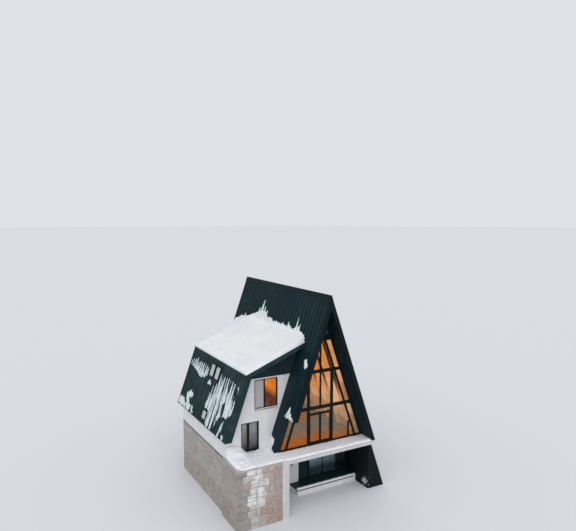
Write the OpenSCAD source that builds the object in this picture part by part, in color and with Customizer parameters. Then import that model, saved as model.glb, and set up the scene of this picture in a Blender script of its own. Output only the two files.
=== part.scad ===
// A-frame cabin on a slope, with a side wing, a deck and a recessed ground storey.
// The origin is on the lowest ground, under the middle of the house. +X is right, +Y runs back, +Z is up.
// The sizes are laid out from the ridge line and from the outer face of the front glazing.

/* [Main roof] */
// Height of the deck level above the lowest ground
deck_z = 4000; // [3700:50:4600]
// Height of the ridge above deck level
ridge_rise = 10300; // [9600:50:11000]
// Half the outer width of the main roof at deck level
half_w = 3665; // [3450:5:3900]
// Level thickness of the roof slabs
roof_t = 300; // [200:10:360]
// How far the roof reaches in front of the front glazing
front_hang = 1100; // [800:10:1400]
// Depth from the front glazing to the roof's back edge
body_len = 11786; // [11000:10:12600]
// How far the roof reaches behind the back wall
back_hang = 300; // [150:10:450]
// Height above deck level where the left overhang is cut off for the passage
passage_h = 2290; // [2200:10:2500]
// Width of the boards along the roof's front and back edges
verge_w = 60; // [30:5:90]
// Half width of the ridge cap
cap_half = 75; // [50:5:110]
// Thickness of the ridge cap and of other sheet trims
trim_t = 30; // [20:5:50]

/* [Front glazing] */
// Depth of the glazing frame
frame_d = 120; // [80:5:160]
// Level width of the frame along the roof
frame_side = 130; // [90:5:180]
// Height of the frame's sill above deck level
sill_h = 90; // [50:5:120]
// Height of the middle transom's centre above deck level
mid_transom_h = 2550; // [2400:10:2700]
// Height of the upper transom's centre above deck level
top_transom_h = 5060; // [4800:10:5300]
// Thickness of the transoms
transom_t = 210; // [120:5:260]
// Left main mullion's centre
mullion_left = -1040; // [-1200:10:-900]
// Middle mullion's centre
mullion_mid = -90; // [-200:10:50]
// Right main mullion's centre
mullion_right = 830; // [700:10:1000]
// Side mullion's centre, in the lower right bay
mullion_side = 2250; // [2050:10:2350]
// Width of the main mullions
mullion_w = 170; // [110:5:220]
// Width of the slim mullions
slim_w = 80; // [50:5:100]
// Height of the side mullion above deck level
side_mullion_h = 1180; // [900:10:1300]
// Level distance from the roof's outer face to the leaning bars
lean_in = 840; // [700:10:1000]
// Level width of the leaning bars
lean_w = 130; // [80:5:180]
// Height of the deck doors' head above deck level
door_head_h = 2110; // [2000:10:2200]
// Width of the deck doors' stiles
stile_w = 60; // [50:5:80]
// Height of the deck doors' bottom rail
door_rail = 110; // [80:5:160]
// Height above deck level where the glazing is closed up to the ridge
apex_h = 7150; // [6900:10:7400]
// Thickness of the glass
glass_t = 24; // [12:2:36]
// Spacing of the rafters under the roof
rafter_gap = 1500; // [1200:10:1800]
// Distance of the first rafter behind the glazing
first_rafter = 1200; // [900:10:1400]
// Width of a rafter along the ridge
rafter_w = 120; // [80:5:160]
// Level depth of a rafter under the roof slab
rafter_d = 180; // [120:5:240]

/* [Deck] */
// Thickness of the floor slabs
slab_t = 300; // [220:10:340]
// Depth of snow on the deck
deck_snow_t = 100; // [60:5:160]
// Distance of the wing's side wall from the centre line
terrace_w = 6660; // [6400:10:6800]
// How far the terrace's walls stand out beyond the wing's side wall
terrace_out = 160; // [100:10:200]
// Width of the pillar at the terrace's end
pillar_w = 495; // [400:5:600]
// Depth of the pillar
pillar_d = 600; // [400:10:800]
// Thickness of the stone walls
stone_t = 300; // [200:10:400]
// Thickness of the plastered walls
wall_t = 300; // [200:10:360]

/* [Wing] */
// Distance of the wing's upper eave from the centre line
eave_x = 5480; // [5200:10:5700]
// Height of the wing's upper eave above deck level
eave_h = 5420; // [5200:10:5700]
// Height above deck level where the wing's upper roof meets the main roof
meet_h = 7070; // [6800:10:7300]
// Height of the steep roof's lower edge above deck level
foot_h = 1180; // [1000:10:1400]
// Level thickness of the wing's steep roof
steep_t = 450; // [300:10:500]
// Upright thickness of the wing's upper roof
upper_t = 330; // [240:10:400]
// Distance of the wing's front wall behind the front glazing
wing_y = 1050; // [900:10:1200]
// How far the wing's roof reaches in front of its wall
wing_hang = 600; // [400:10:700]
// Depth of the wing's roof back edge behind the front glazing
wing_back = 9660; // [9000:10:10400]
// Height of the plastered wall's top above deck level
plaster_h = 4920; // [4850:10:4990]
// Thickness of the boarding on the gables
board_t = 60; // [30:5:90]
// Height of the wing's upper floor above deck level
upper_floor_h = 2520; // [2420:10:2600]
// Thickness of the wing's upper floor
upper_floor_t = 240; // [180:10:300]
// Depth of the snow at the wing's upper eave
roof_snow_t = 160; // [120:10:260]
// How far the snow drifts up the main roof above the wing's roof
drift_h = 650; // [400:10:800]

/* [Wing windows] */
// Upper window's left side, measured from the centre line
upper_win_x = 4600; // [4450:10:4700]
// Upper window's width
upper_win_w = 1750; // [1500:10:1850]
// Upper window's height
upper_win_h = 2040; // [1800:10:2080]
// Upper window's sill above deck level
upper_win_sill = 2760; // [2750:10:2820]
// Lower window's left side, measured from the centre line
lower_win_x = 5580; // [5450:10:5700]
// Lower window's width
lower_win_w = 1310; // [1200:10:1500]
// Lower window's height
lower_win_h = 2000; // [1900:10:2050]
// Lower window's sill above deck level
lower_win_sill = 20; // [10:10:60]
// Distance of the lower window's post from the window's left side
lower_post_x = 550; // [480:10:650]
// Width of the window frames
win_frame = 80; // [50:5:100]
// Width of the posts that divide the windows
win_post = 150; // [100:5:200]
// Distance of the window frames behind the wall's face
reveal = 70; // [40:5:110]

/* [Roof windows] */
// Front side of the upper pair
pair_y = 4050; // [3800:10:4300]
// Width of one roof window
roof_win_w = 800; // [700:10:900]
// Gap between the two windows of the pair
pair_gap = 120; // [80:10:200]
// Height of the pair's lower edge above deck level
pair_h = 4130; // [4000:10:4200]
// Upright height of the pair
pair_rise = 940; // [800:10:1000]
// Height of the low window's lower edge above deck level
low_win_h = 1440; // [1380:10:1600]
// Upright height of the low window
low_win_rise = 680; // [600:10:800]
// Front side of the low window
low_win_y = 4160; // [3800:10:4400]
// How far the roof windows' frames stand out of the roof, measured level
curb_out = 70; // [40:5:100]
// Width of the roof windows' frames
curb_w = 70; // [50:5:90]

/* [Ground storey] */
// Height of the entrance floor above the lowest ground
porch_z = 400; // [300:10:500]
// Depth from the front glazing to the entrance floor's front edge
porch_y = 1120; // [900:10:1300]
// Left side of the entrance floor
porch_x = -1240; // [-1500:10:-1100]
// Depth from the front glazing to the entrance wall
entry_y = 2300; // [2100:10:2500]
// Right end of the entrance wall's plastered part
entry_wall_x = -500; // [-700:10:-400]
// Distance of the right cheek's inner face from the centre line
cheek_x = 3700; // [3600:10:3800]
// How far the right base wall reaches in front of the front glazing
base_front = 400; // [250:10:600]
// Width of the entrance door's clear opening
door_w = 850; // [800:5:900]
// Height of the entrance door's clear opening
door_h = 2150; // [2050:10:2250]
// Thickness of the entrance door
door_t = 60; // [40:5:75]
// Clearance round the entrance door
door_gap = 10; // [8:1:14]
// Length of the entrance door's pull handle
grip_l = 400; // [300:10:500]
// Height of the handle's lower end above the entrance floor
grip_h = 850; // [750:10:950]
// Radius of the handle's bar
grip_r = 12; // [10:1:16]
// How far the handle stands out of the door
grip_out = 50; // [40:1:70]
// Centre of the wall lamp
lamp_x = -1110; // [-1500:10:-700]
// Height of the lamp's lower end above the entrance floor
lamp_h = 1350; // [1200:10:1700]
// Radius of the lamp's top
lamp_r = 70; // [50:5:90]
// Height of the lamp's shade
lamp_l = 220; // [160:10:280]
// Width of the ground storey's frames
base_frame = 80; // [60:5:100]
// Depth of the ground storey's frames
base_frame_d = 100; // [90:5:130]
// Centre of the ground storey's second mullion
base_mullion_2 = 1650; // [1500:10:1800]
// Centre of the ground storey's third mullion
base_mullion_3 = 2820; // [2700:10:2950]

/* [Back] */
// Width of the back windows
back_win_w = 1200; // [1000:10:1300]
// Height of the back windows
back_win_h = 1350; // [1200:10:1450]
// Distance of the back windows' centres from the centre line
back_win_x = 1150; // [1000:10:1250]
// Sill of the back windows above deck level
back_win_sill = 850; // [800:10:950]
// Distance from the sill of one storey's window to the next
storey_h = 2510; // [2450:10:2600]

/* [Hidden] */

ridge_z = deck_z + ridge_rise;
slope = half_w / ridge_rise;
main_x0 = ridge_z * slope;
wing_x0 = eave_x + (deck_z + eave_h) * slope;
slab_top = deck_z - deck_snow_t;
slab_low = slab_top - slab_t;
centre_x = (main_x(0) - wing_x(deck_z + foot_h)) / 2;
centre_y = (body_len - front_hang) / 2;
gable_y = body_len - back_hang;
wing_gable_y = wing_back - back_hang;
wing_front_y = wing_y - wing_hang;
inner_top = ridge_z - roof_t / slope;
meet_x = main_x(deck_z + meet_h);
upper_pitch = (meet_h - eave_h) / (eave_x - meet_x);
corner_z = (deck_z + eave_h - upper_t + (eave_x + steep_t - wing_x0) * upper_pitch) / (1 - slope * upper_pitch);
entry_frame_y = entry_y + wall_t - base_frame_d;
entry_left = entry_wall_x;
door_x0 = entry_left + base_frame;
door_x1 = door_x0 + door_w;
base_mullion_1 = door_x1 + base_frame / 2;
stone_end = -half_w;
terrace_x = -terrace_w - terrace_out;
cut = 20;
door_head_z = porch_z + door_h;
entry_in_y = entry_y + wall_t;
hinge_off = 16;
knuckle_r = 13;
knuckle_h = 50;
plate_w = 45;
plate_t = 6;
pin_r = 7;
pin_play = 0.3;
hinge_end = 220;
hinge_x = door_x0 + door_gap / 2;
hinge_y = entry_in_y + hinge_off;
seat = 0.3;
lamp_reach = 1.6;
lamp_taper = 0.6;
lamp_arm = 0.7;
win_post_share = 0.45;
door_inset = frame_d / 4;
grip_set_back = grip_l / 4;
grip_foot_at = grip_l / 6;
grip_foot_r = grip_r / 1.5;
round_faces = 48;
small_faces = 32;

roof_grey = "#26363b";
metal_dark = "#16262b";
board_dark = "#20343a";
plaster_white = "#c6c8cc";
stone_brown = "#978b80";
snow_white = "#e2e7ec";
timber = "#b8793f";
frame_brown = "#241c17";
glass_tint = "#8a7a66";
concrete = "#a9aaac";

// Outer face of the main roof at height z, on the right side
function main_x(z) = main_x0 - slope * z;
// Outer face of the wing's steep roof at height z, before mirroring
function wing_x(z) = wing_x0 - slope * z;
// Top of the wing's upper roof at distance x from the centre line
function upper_z(x) = deck_z + eave_h + (eave_x - x) * upper_pitch;

// Moves a piece from the ridge line and the glazing to the middle of the house
module placed() {
    translate([-centre_x, -centre_y, 0]) children();
}

// Extrudes an upright outline, drawn as x and z, from y0 to y1
module along_y(y0, y1) {
    translate([0, y1, 0]) rotate([90, 0, 0]) linear_extrude(height = y1 - y0) children();
}

// A box given by its two corners
module block(low, high) {
    translate(low) cube(high - low);
}

// A leaning slab: a face at x0 - slope * z, from in_t behind it to out_t in front of it
module leaning(x0, z0, z1, in_t, out_t, y0, y1) {
    along_y(y0, y1) polygon([
        [x0 - slope * z0 - in_t, z0],
        [x0 - slope * z0 + out_t, z0],
        [x0 - slope * z1 + out_t, z1],
        [x0 - slope * z1 - in_t, z1]
    ]);
}

// One side of the main roof, from height z0 up to the ridge
module roof_side(z0, in_t, out_t, y0, y1) {
    along_y(y0, y1) polygon([
        [main_x(z0) - in_t, z0],
        [main_x(z0) + out_t, z0],
        [0, ridge_z + out_t / slope],
        [0, ridge_z - in_t / slope]
    ]);
}

module left() {
    mirror([1, 0, 0]) children();
}

// The opening of one roof window, as wide and high as its frame
module roof_window_hole(y0, w, z0, rise) {
    leaning(wing_x0, z0, z0 + rise, steep_t + cut, curb_out + cut, y0, y0 + w);
}

module each_roof_window() {
    for (i = [0, 1]) {
        $win = [pair_y + i * (roof_win_w + pair_gap), roof_win_w, deck_z + pair_h, pair_rise];
        children();
    }
    $win = [low_win_y, roof_win_w, deck_z + low_win_h, low_win_rise];
    children();
}

// The outline between the main roof's inner faces, from height z0 up
module gable_outline(z0, side) {
    half = main_x(z0) - roof_t - side;
    polygon([[-half, z0], [half, z0], [0, inner_top - side / slope]]);
}

// A rectangular opening for a window, drawn as x and z
module pane(x0, z0, w, h) {
    translate([x0, z0]) square([w, h]);
}

module each_back_window() {
    for (side = [-1, 1]) {
        $pane = [side * back_win_x - back_win_w / 2, deck_z + back_win_sill];
        children();
    }
    $pane = [-back_win_w / 2, deck_z + back_win_sill + storey_h];
    children();
}

module left_roof() {
    placed() color(roof_grey) left() {
        roof_side(slab_top, roof_t, 0, 0, body_len);
        roof_side(deck_z + passage_h, roof_t, 0, -front_hang, 0);
    }
}

module right_roof() {
    placed() color(roof_grey) roof_side(slab_top, roof_t, 0, -front_hang, body_len);
}

module ridge_cap() {
    drop = cap_half / slope;
    placed() color(metal_dark) along_y(-front_hang - verge_w, body_len + verge_w) polygon([
        [0, ridge_z + seat / slope],
        [cap_half + seat, ridge_z - drop],
        [cap_half + trim_t, ridge_z - drop],
        [0, ridge_z + trim_t / slope],
        [-cap_half - trim_t, ridge_z - drop],
        [-cap_half - seat, ridge_z - drop]
    ]);
}

module front_bargeboards() {
    placed() color(metal_dark) {
        roof_side(slab_top, roof_t, 0, -front_hang - verge_w, -front_hang);
        left() roof_side(deck_z + passage_h, roof_t, 0, -front_hang - verge_w, -front_hang);
    }
}

module back_bargeboards() {
    placed() color(metal_dark) {
        roof_side(slab_top, roof_t, 0, body_len, body_len + verge_w);
        left() roof_side(slab_top, roof_t, 0, body_len, body_len + verge_w);
    }
}

module rafters() {
    count = floor((gable_y - wall_t - first_rafter - rafter_w) / rafter_gap);
    low_x = main_x(slab_top) - roof_t - seat;
    placed() color(timber) for (i = [0 : count], side = [0, 1]) {
        y0 = first_rafter + rafter_gap * i;
        mirror([side, 0, 0]) along_y(y0, y0 + rafter_w) polygon([
            [low_x - rafter_d, slab_top],
            [low_x, slab_top],
            [seat, inner_top - seat / slope * 2],
            [seat, inner_top - (rafter_d + seat * 2) / slope]
        ]);
    }
}

// The frame's bars that stand upright, drawn as x and z
module upright(x, w, z0, z1) {
    translate([x - w / 2, z0]) square([w, z1 - z0]);
}

module front_frame_outline() {
    mid = deck_z + mid_transom_h;
    top = deck_z + top_transom_h;
    difference() {
        gable_outline(slab_top, seat);
        translate([0, sill_h + deck_snow_t]) gable_outline(slab_top, frame_side + sill_h * slope);
    }
    intersection() {
        gable_outline(slab_top, seat);
        union() {
            for (z = [mid, top]) translate([-half_w, z - transom_t / 2]) square([half_w * 2, transom_t]);
            for (x = [mullion_left, mullion_right]) upright(x, mullion_w, slab_top, top);
            upright(mullion_mid, slim_w, mid, ridge_z);
            upright(mullion_side, slim_w, slab_top, deck_z + side_mullion_h);
            translate([-half_w, deck_z + apex_h]) square([half_w * 2, ridge_rise - apex_h]);
            translate([mullion_left, deck_z + door_head_h])
                square([mullion_right - mullion_left, slim_w]);
            for (side = [0, 1]) mirror([side, 0]) polygon([
                [main_x(slab_top) - lean_in - lean_w / 2, slab_top],
                [main_x(slab_top) - lean_in + lean_w / 2, slab_top],
                [main_x(ridge_z) - lean_in + lean_w / 2, ridge_z],
                [main_x(ridge_z) - lean_in - lean_w / 2, ridge_z]
            ]);
        }
    }
}

module front_frame() {
    placed() color(frame_brown) along_y(0, frame_d) front_frame_outline();
}

// One leaf's stiles and rails, between x0 and x1
module leaf(x0, x1) {
    z0 = deck_z + sill_h + seat;
    z1 = deck_z + door_head_h - seat;
    difference() {
        translate([x0, z0]) square([x1 - x0, z1 - z0]);
        translate([x0 + stile_w, z0 + door_rail]) square([x1 - x0 - stile_w * 2, z1 - z0 - door_rail - stile_w]);
    }
}

module deck_doors() {
    placed() color(frame_brown) along_y(door_inset, frame_d) {
        leaf(mullion_left + mullion_w / 2 + seat, mullion_mid - seat);
        leaf(mullion_mid + seat, mullion_right - mullion_w / 2 - seat);
    }
}

module front_glass() {
    placed() color(glass_tint) along_y(frame_d + seat, frame_d + seat + glass_t) gable_outline(slab_top, seat);
}

module back_wall() {
    placed() color(plaster_white) difference() {
        along_y(gable_y - wall_t, gable_y) intersection() {
            gable_outline(slab_top, seat);
            translate([-half_w, slab_top]) square([half_w * 2, plaster_h + deck_snow_t]);
        }
        along_y(gable_y - wall_t - cut, gable_y + cut) each_back_window()
            pane($pane[0], $pane[1], back_win_w, back_win_h);
    }
}

module gable_boards() {
    placed() color(board_dark) {
        along_y(gable_y - wall_t, gable_y + board_t) gable_outline(deck_z + plaster_h, seat);
        left() for (y = [[wing_y - board_t, wing_y + wall_t], [wing_gable_y - wall_t, wing_gable_y + board_t]])
            along_y(y[0], y[1]) wing_section(deck_z + plaster_h, ridge_z);
    }
}

// A window's frame with one post, drawn as x and z
module window_outline(x0, z0, w, h, post_x, post_w) {
    difference() {
        pane(x0, z0, w, h);
        pane(x0 + win_frame, z0 + win_frame, w - win_frame * 2, h - win_frame * 2);
    }
    pane(post_x - post_w / 2, z0, post_w, h);
}

module back_windows() {
    y1 = gable_y - reveal;
    placed() color(frame_brown) along_y(y1 - win_frame, y1) each_back_window()
        window_outline($pane[0], $pane[1], back_win_w, back_win_h, $pane[0] + back_win_w / 2, win_frame);
}

// A floor slab from x0 to the main roof's right face, drawn as x and z
module slab_outline(x0) {
    polygon([[x0, slab_low], [main_x(slab_low), slab_low], [main_x(slab_top), slab_top], [x0, slab_top]]);
}

module hall_floor() {
    placed() color(concrete) along_y(0, gable_y) slab_outline(-half_w);
}

module balcony_slab() {
    placed() color(plaster_white) along_y(-front_hang, 0) slab_outline(stone_end + pillar_w);
}

module terrace_slab() {
    placed() color(concrete) block(
        [terrace_x + stone_t, -front_hang + stone_t, slab_low],
        [stone_end, wing_y, slab_top]
    );
    placed() color(concrete) block([stone_end, -front_hang + pillar_d, slab_low], [stone_end + pillar_w, 0, slab_top]);
}

module retaining_wall() {
    placed() color(stone_brown) block([terrace_x, -front_hang, 0], [stone_end, -front_hang + stone_t, slab_top]);
}

module terrace_side_wall() {
    placed() color(stone_brown) block(
        [terrace_x, -front_hang + stone_t, 0],
        [terrace_x + stone_t, wing_y + wall_t, slab_top]
    );
}

module end_pillar() {
    placed() color(plaster_white) block(
        [stone_end, -front_hang, 0],
        [stone_end + pillar_w, -front_hang + pillar_d, slab_top]
    );
}

module wall_lamp() {
    lamp_y = entry_y - lamp_r * lamp_reach;
    arm_z = porch_z + lamp_h + lamp_l * lamp_arm;
    arm_w = lamp_r * lamp_taper;
    placed() color(metal_dark) {
        translate([lamp_x, lamp_y, porch_z + lamp_h])
            cylinder(h = lamp_l, r1 = lamp_r * lamp_taper, r2 = lamp_r, $fn = small_faces);
        block([lamp_x - arm_w / 2, lamp_y, arm_z], [lamp_x + arm_w / 2, entry_y, arm_z + arm_w]);
    }
}

module deck_snow() {
    roof_foot = -main_x(slab_top) - seat;
    placed() color(snow_white) {
        block([terrace_x, -front_hang, slab_top], [roof_foot, wing_y - seat, deck_z]);
        block([roof_foot, -front_hang, slab_top], [main_x(deck_z) - roof_t - seat, -seat, deck_z]);
    }
}

// The wing's cross-section under its roofs, drawn before mirroring
module wing_outline(z0, z1) {
    kink = deck_z + foot_h;
    in_t = steep_t + seat;
    intersection() {
        polygon([
            [main_x(z0), z0],
            [terrace_w, z0],
            [terrace_w, kink],
            [wing_x(kink) - in_t, kink],
            [wing_x(corner_z) - in_t, corner_z - seat],
            [meet_x, upper_z(meet_x) - upper_t - seat]
        ]);
        translate([0, z0]) square([terrace_w * 2, z1 - z0]);
    }
}

// The wing's outline right of the main roof's outer face, before mirroring
module wing_section(z0, z1) {
    difference() {
        wing_outline(z0, z1);
        main_body();
    }
}

module wing_front_wall() {
    placed() color(plaster_white) difference() {
        left() along_y(wing_y, wing_y + wall_t) wing_section(slab_top, deck_z + plaster_h);
        along_y(wing_y - cut, wing_y + wall_t + cut) {
            pane(-upper_win_x, deck_z + upper_win_sill, upper_win_w, upper_win_h);
            pane(-lower_win_x, deck_z + lower_win_sill, lower_win_w, lower_win_h);
        }
    }
}

module wing_side_wall() {
    placed() color(plaster_white) block(
        [-terrace_w, wing_y + wall_t, 0],
        [-terrace_w + wall_t, wing_gable_y - wall_t, deck_z + foot_h]
    );
}

module wing_back_wall() {
    placed() color(plaster_white) left() along_y(wing_gable_y - wall_t, wing_gable_y)
        wing_section(slab_top, deck_z + plaster_h);
}

// The main roof's body, which the wing's outlines are trimmed by
module main_body() {
    polygon([
        [-cut, 0],
        [main_x(0) + seat, 0],
        [main_x(ridge_z) + seat, ridge_z],
        [-cut, ridge_z]
    ]);
}

module steep_outline() {
    z0 = deck_z + foot_h;
    polygon([
        [wing_x(z0) - steep_t, z0],
        [wing_x(z0), z0],
        [eave_x, upper_z(eave_x)],
        [eave_x - steep_t, upper_z(eave_x - steep_t)],
        [wing_x(corner_z) - steep_t, corner_z]
    ]);
}

module upper_outline() {
    difference() {
        polygon([
            [eave_x - steep_t - seat, upper_z(eave_x - steep_t - seat)],
            [wing_x(corner_z) - steep_t - seat, corner_z],
            [0, upper_z(0) - upper_t],
            [0, upper_z(0)]
        ]);
        main_body();
    }
}

module wing_steep_roof() {
    placed() color(roof_grey) left() difference() {
        along_y(wing_front_y, wing_back) steep_outline();
        each_roof_window() roof_window_hole($win[0], $win[1], $win[2], $win[3]);
    }
}

module wing_upper_roof() {
    placed() color(roof_grey) left() along_y(wing_front_y, wing_back) upper_outline();
}

module wing_bargeboards() {
    placed() color(metal_dark) left() for (y0 = [wing_front_y - verge_w, wing_back]) along_y(y0, y0 + verge_w) {
        steep_outline();
        upper_outline();
    }
}

module wing_snow() {
    peak = deck_z + meet_h + drift_h;
    placed() color(snow_white) left() along_y(wing_front_y - verge_w, wing_back + verge_w) difference() {
        polygon([
            [eave_x, upper_z(eave_x) + seat],
            [eave_x - roof_snow_t / 2, upper_z(eave_x) + roof_snow_t],
            [main_x(peak), peak],
            [0, peak],
            [0, upper_z(0) + seat]
        ]);
        main_body();
    }
}

module wing_floor() {
    placed() color(concrete) block(
        [-terrace_w + wall_t, wing_y, slab_low],
        [-half_w - seat, wing_gable_y - wall_t, slab_top]
    );
}

module wing_upper_floor() {
    placed() color(timber) left() along_y(wing_y + wall_t + seat, wing_gable_y - wall_t - seat)
        wing_section(deck_z + upper_floor_h - upper_floor_t, deck_z + upper_floor_h);
}

module wing_windows() {
    y0 = wing_y + reveal;
    upper_post = -upper_win_x + upper_win_w * win_post_share;
    lower_post = lower_post_x - lower_win_x;
    placed() color(frame_brown) along_y(y0, y0 + win_frame) {
        window_outline(-upper_win_x, deck_z + upper_win_sill, upper_win_w, upper_win_h, upper_post, win_frame);
        window_outline(-lower_win_x, deck_z + lower_win_sill, lower_win_w, lower_win_h, lower_post, win_post);
    }
}

module window_glass() {
    y0 = wing_y + reveal + win_frame + seat;
    y1 = gable_y - reveal - win_frame - seat;
    placed() color(glass_tint) {
        along_y(y0, y0 + glass_t) {
            pane(-upper_win_x, deck_z + upper_win_sill, upper_win_w, upper_win_h);
            pane(-lower_win_x, deck_z + lower_win_sill, lower_win_w, lower_win_h);
        }
        along_y(y1 - glass_t, y1) each_back_window() pane($pane[0], $pane[1], back_win_w, back_win_h);
    }
}

module roof_windows() {
    placed() color(metal_dark) left() each_roof_window() difference() {
        leaning(wing_x0, $win[2] + seat, $win[2] + $win[3] - seat, steep_t, curb_out,
            $win[0] + seat, $win[0] + $win[1] - seat);
        leaning(wing_x0, $win[2] + curb_w, $win[2] + $win[3] - curb_w, steep_t + cut, curb_out + cut,
            $win[0] + curb_w, $win[0] + $win[1] - curb_w);
    }
}

module roof_glass() {
    placed() color(glass_tint) left() each_roof_window()
        leaning(wing_x0, $win[2] + curb_w, $win[2] + $win[3] - curb_w, 0, glass_t,
            $win[0] + curb_w, $win[0] + $win[1] - curb_w);
}

module right_base_wall() {
    placed() color(board_dark) leaning(main_x0, 0, slab_low, roof_t, 0, -base_front, gable_y);
}

module right_cheek() {
    z1 = (main_x0 - roof_t - seat - cheek_x) / slope;
    placed() color(board_dark) along_y(-base_front, entry_in_y) polygon([
        [cheek_x, 0],
        [main_x(0) - roof_t - seat, 0],
        [cheek_x, z1]
    ]);
}

module recess_walls() {
    placed() color(plaster_white) {
        block([stone_end, -front_hang + pillar_d, 0], [stone_end + pillar_w, entry_in_y, slab_low]);
        block([stone_end + pillar_w, entry_y, 0], [entry_wall_x, entry_in_y, slab_low]);
    }
}

// The base storey's outline between x0 and the leaning right wall, drawn as x and z
module base_outline(x0, z0, z1) {
    in_t = roof_t + seat;
    polygon([[x0, z0], [main_x(z0) - in_t, z0], [main_x(z1) - in_t, z1], [x0, z1]]);
}

module base_back_walls() {
    placed() color(stone_brown) {
        along_y(gable_y - wall_t, gable_y) base_outline(-half_w, 0, slab_low);
        block([-terrace_w, wing_gable_y - wall_t, 0], [-half_w, wing_gable_y, slab_top]);
        block([-half_w, wing_gable_y - wall_t, 0], [-half_w + wall_t, gable_y - wall_t, slab_low]);
    }
}

module ground_floor() {
    placed() color(concrete) along_y(entry_y + wall_t, wing_gable_y - wall_t)
        base_outline(-terrace_w + wall_t, 0, porch_z);
    placed() color(concrete) along_y(wing_gable_y - wall_t, gable_y - wall_t)
        base_outline(-half_w + wall_t, 0, porch_z);
}

module entrance_floor() {
    placed() color(concrete) block([porch_x, porch_y, 0], [cheek_x, entry_y, porch_z]);
    placed() color(concrete) block([entry_wall_x, entry_y, 0], [cheek_x, entry_y + wall_t, porch_z]);
}

// The room for the ground storey's glazing, between heights z0 and z1
module glazing_outline(x0, z0, z1) {
    intersection() {
        base_outline(x0, z0, z1);
        translate([x0, z0]) square([cheek_x - x0, z1 - z0]);
    }
}

module door_jambs() {
    placed() color(frame_brown) along_y(entry_frame_y, entry_frame_y + base_frame_d)
        for (x = [entry_left + base_frame / 2, base_mullion_1]) upright(x, base_frame, porch_z, door_head_z);
}

module entrance_frame() {
    x0 = door_x1 + base_frame;
    z0 = door_head_z + base_frame;
    placed() color(frame_brown) along_y(entry_frame_y, entry_frame_y + base_frame_d) {
        pane(x0, porch_z, cheek_x - x0, base_frame);
        pane(entry_left, door_head_z, cheek_x - entry_left, base_frame);
        for (x = [base_mullion_2, base_mullion_3, cheek_x - base_frame / 2]) upright(x, base_frame, porch_z, z0);
        difference() {
            glazing_outline(entry_left, z0, slab_low);
            translate([-base_frame, -base_frame]) glazing_outline(entry_left - cut, z0 - cut, slab_low);
        }
        for (x = [entry_left + base_frame / 2, base_mullion_1, base_mullion_2, base_mullion_3])
            upright(x, base_frame, z0, slab_low);
    }
}

module entrance_glass() {
    y1 = entry_frame_y - seat;
    z_split = door_head_z + base_frame / 2;
    x0 = base_mullion_1;
    placed() color(glass_tint) along_y(y1 - glass_t, y1) {
        glazing_outline(entry_left, z_split, slab_low);
        translate([x0, porch_z]) square([cheek_x - x0, z_split - seat - porch_z]);
    }
}

// A knuckle of the door's hinges, drawn at its lower end, with a plate that runs to one side
module knuckle(side, bore_r) {
    difference() {
        cylinder(h = knuckle_h, r = knuckle_r, $fn = round_faces);
        if (bore_r > 0) translate([0, 0, -cut]) cylinder(h = knuckle_h + 2 * cut, r = bore_r, $fn = round_faces);
    }
    difference() {
        block([min(side * plate_w, 0), -hinge_off, 0], [max(side * plate_w, 0), -hinge_off + plate_t, knuckle_h]);
        if (bore_r > 0) translate([0, 0, -cut]) cylinder(h = knuckle_h + 2 * cut, r = bore_r, $fn = round_faces);
    }
}

module each_hinge() {
    for (z = [hinge_end, door_h / 2, door_h - hinge_end]) translate([hinge_x, hinge_y, porch_z + z]) children();
}

module entrance_door() {
    placed() color(board_dark) {
        block(
            [door_x0 + door_gap, entry_in_y - door_t, porch_z + door_gap],
            [door_x1 - door_gap, entry_in_y, porch_z + door_h - door_gap]
        );
        each_hinge() translate([0, 0, knuckle_h + pin_play]) knuckle(1, pin_r + pin_play);
    }
}

module door_hinges() {
    placed() color(metal_dark) each_hinge() {
        knuckle(-1, 0);
        cylinder(h = knuckle_h * 2, r = pin_r, $fn = round_faces);
    }
}

module door_handle() {
    grip_x = door_x1 - grip_set_back;
    grip_z = porch_z + grip_h;
    foot = grip_foot_at;
    placed() color(metal_dark) translate([grip_x, entry_in_y - door_t - grip_out, grip_z]) {
        cylinder(h = grip_l, r = grip_r, $fn = small_faces);
        for (z = [foot, grip_l - foot]) translate([0, 0, z]) rotate([-90, 0, 0])
            cylinder(h = grip_out, r = grip_foot_r, $fn = small_faces);
    }
}

left_roof();
right_roof();
ridge_cap();
front_bargeboards();
back_bargeboards();
rafters();
front_frame();
deck_doors();
front_glass();
back_wall();
gable_boards();
back_windows();
hall_floor();
balcony_slab();
terrace_slab();
retaining_wall();
terrace_side_wall();
end_pillar();
wall_lamp();
deck_snow();
wing_front_wall();
wing_side_wall();
wing_back_wall();
wing_steep_roof();
wing_upper_roof();
wing_bargeboards();
wing_snow();
wing_floor();
wing_upper_floor();
wing_windows();
window_glass();
roof_windows();
roof_glass();
right_base_wall();
right_cheek();
recess_walls();
base_back_walls();
ground_floor();
entrance_floor();
door_jambs();
entrance_frame();
entrance_glass();
entrance_door();
door_hinges();
door_handle();
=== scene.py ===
"""Looks of the a-frame cabin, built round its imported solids.

Lengths are in metres. A piece is laid out from the ridge line and from the outer face of the
front glazing, as the solids are, and it is moved into the part's own frame when it is finished.
"""

import logging
import math
import random
from dataclasses import dataclass
from enum import Enum
from typing import Any, Iterable, Protocol

import bmesh
import bpy
from mathutils import Matrix, Vector, noise

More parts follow.
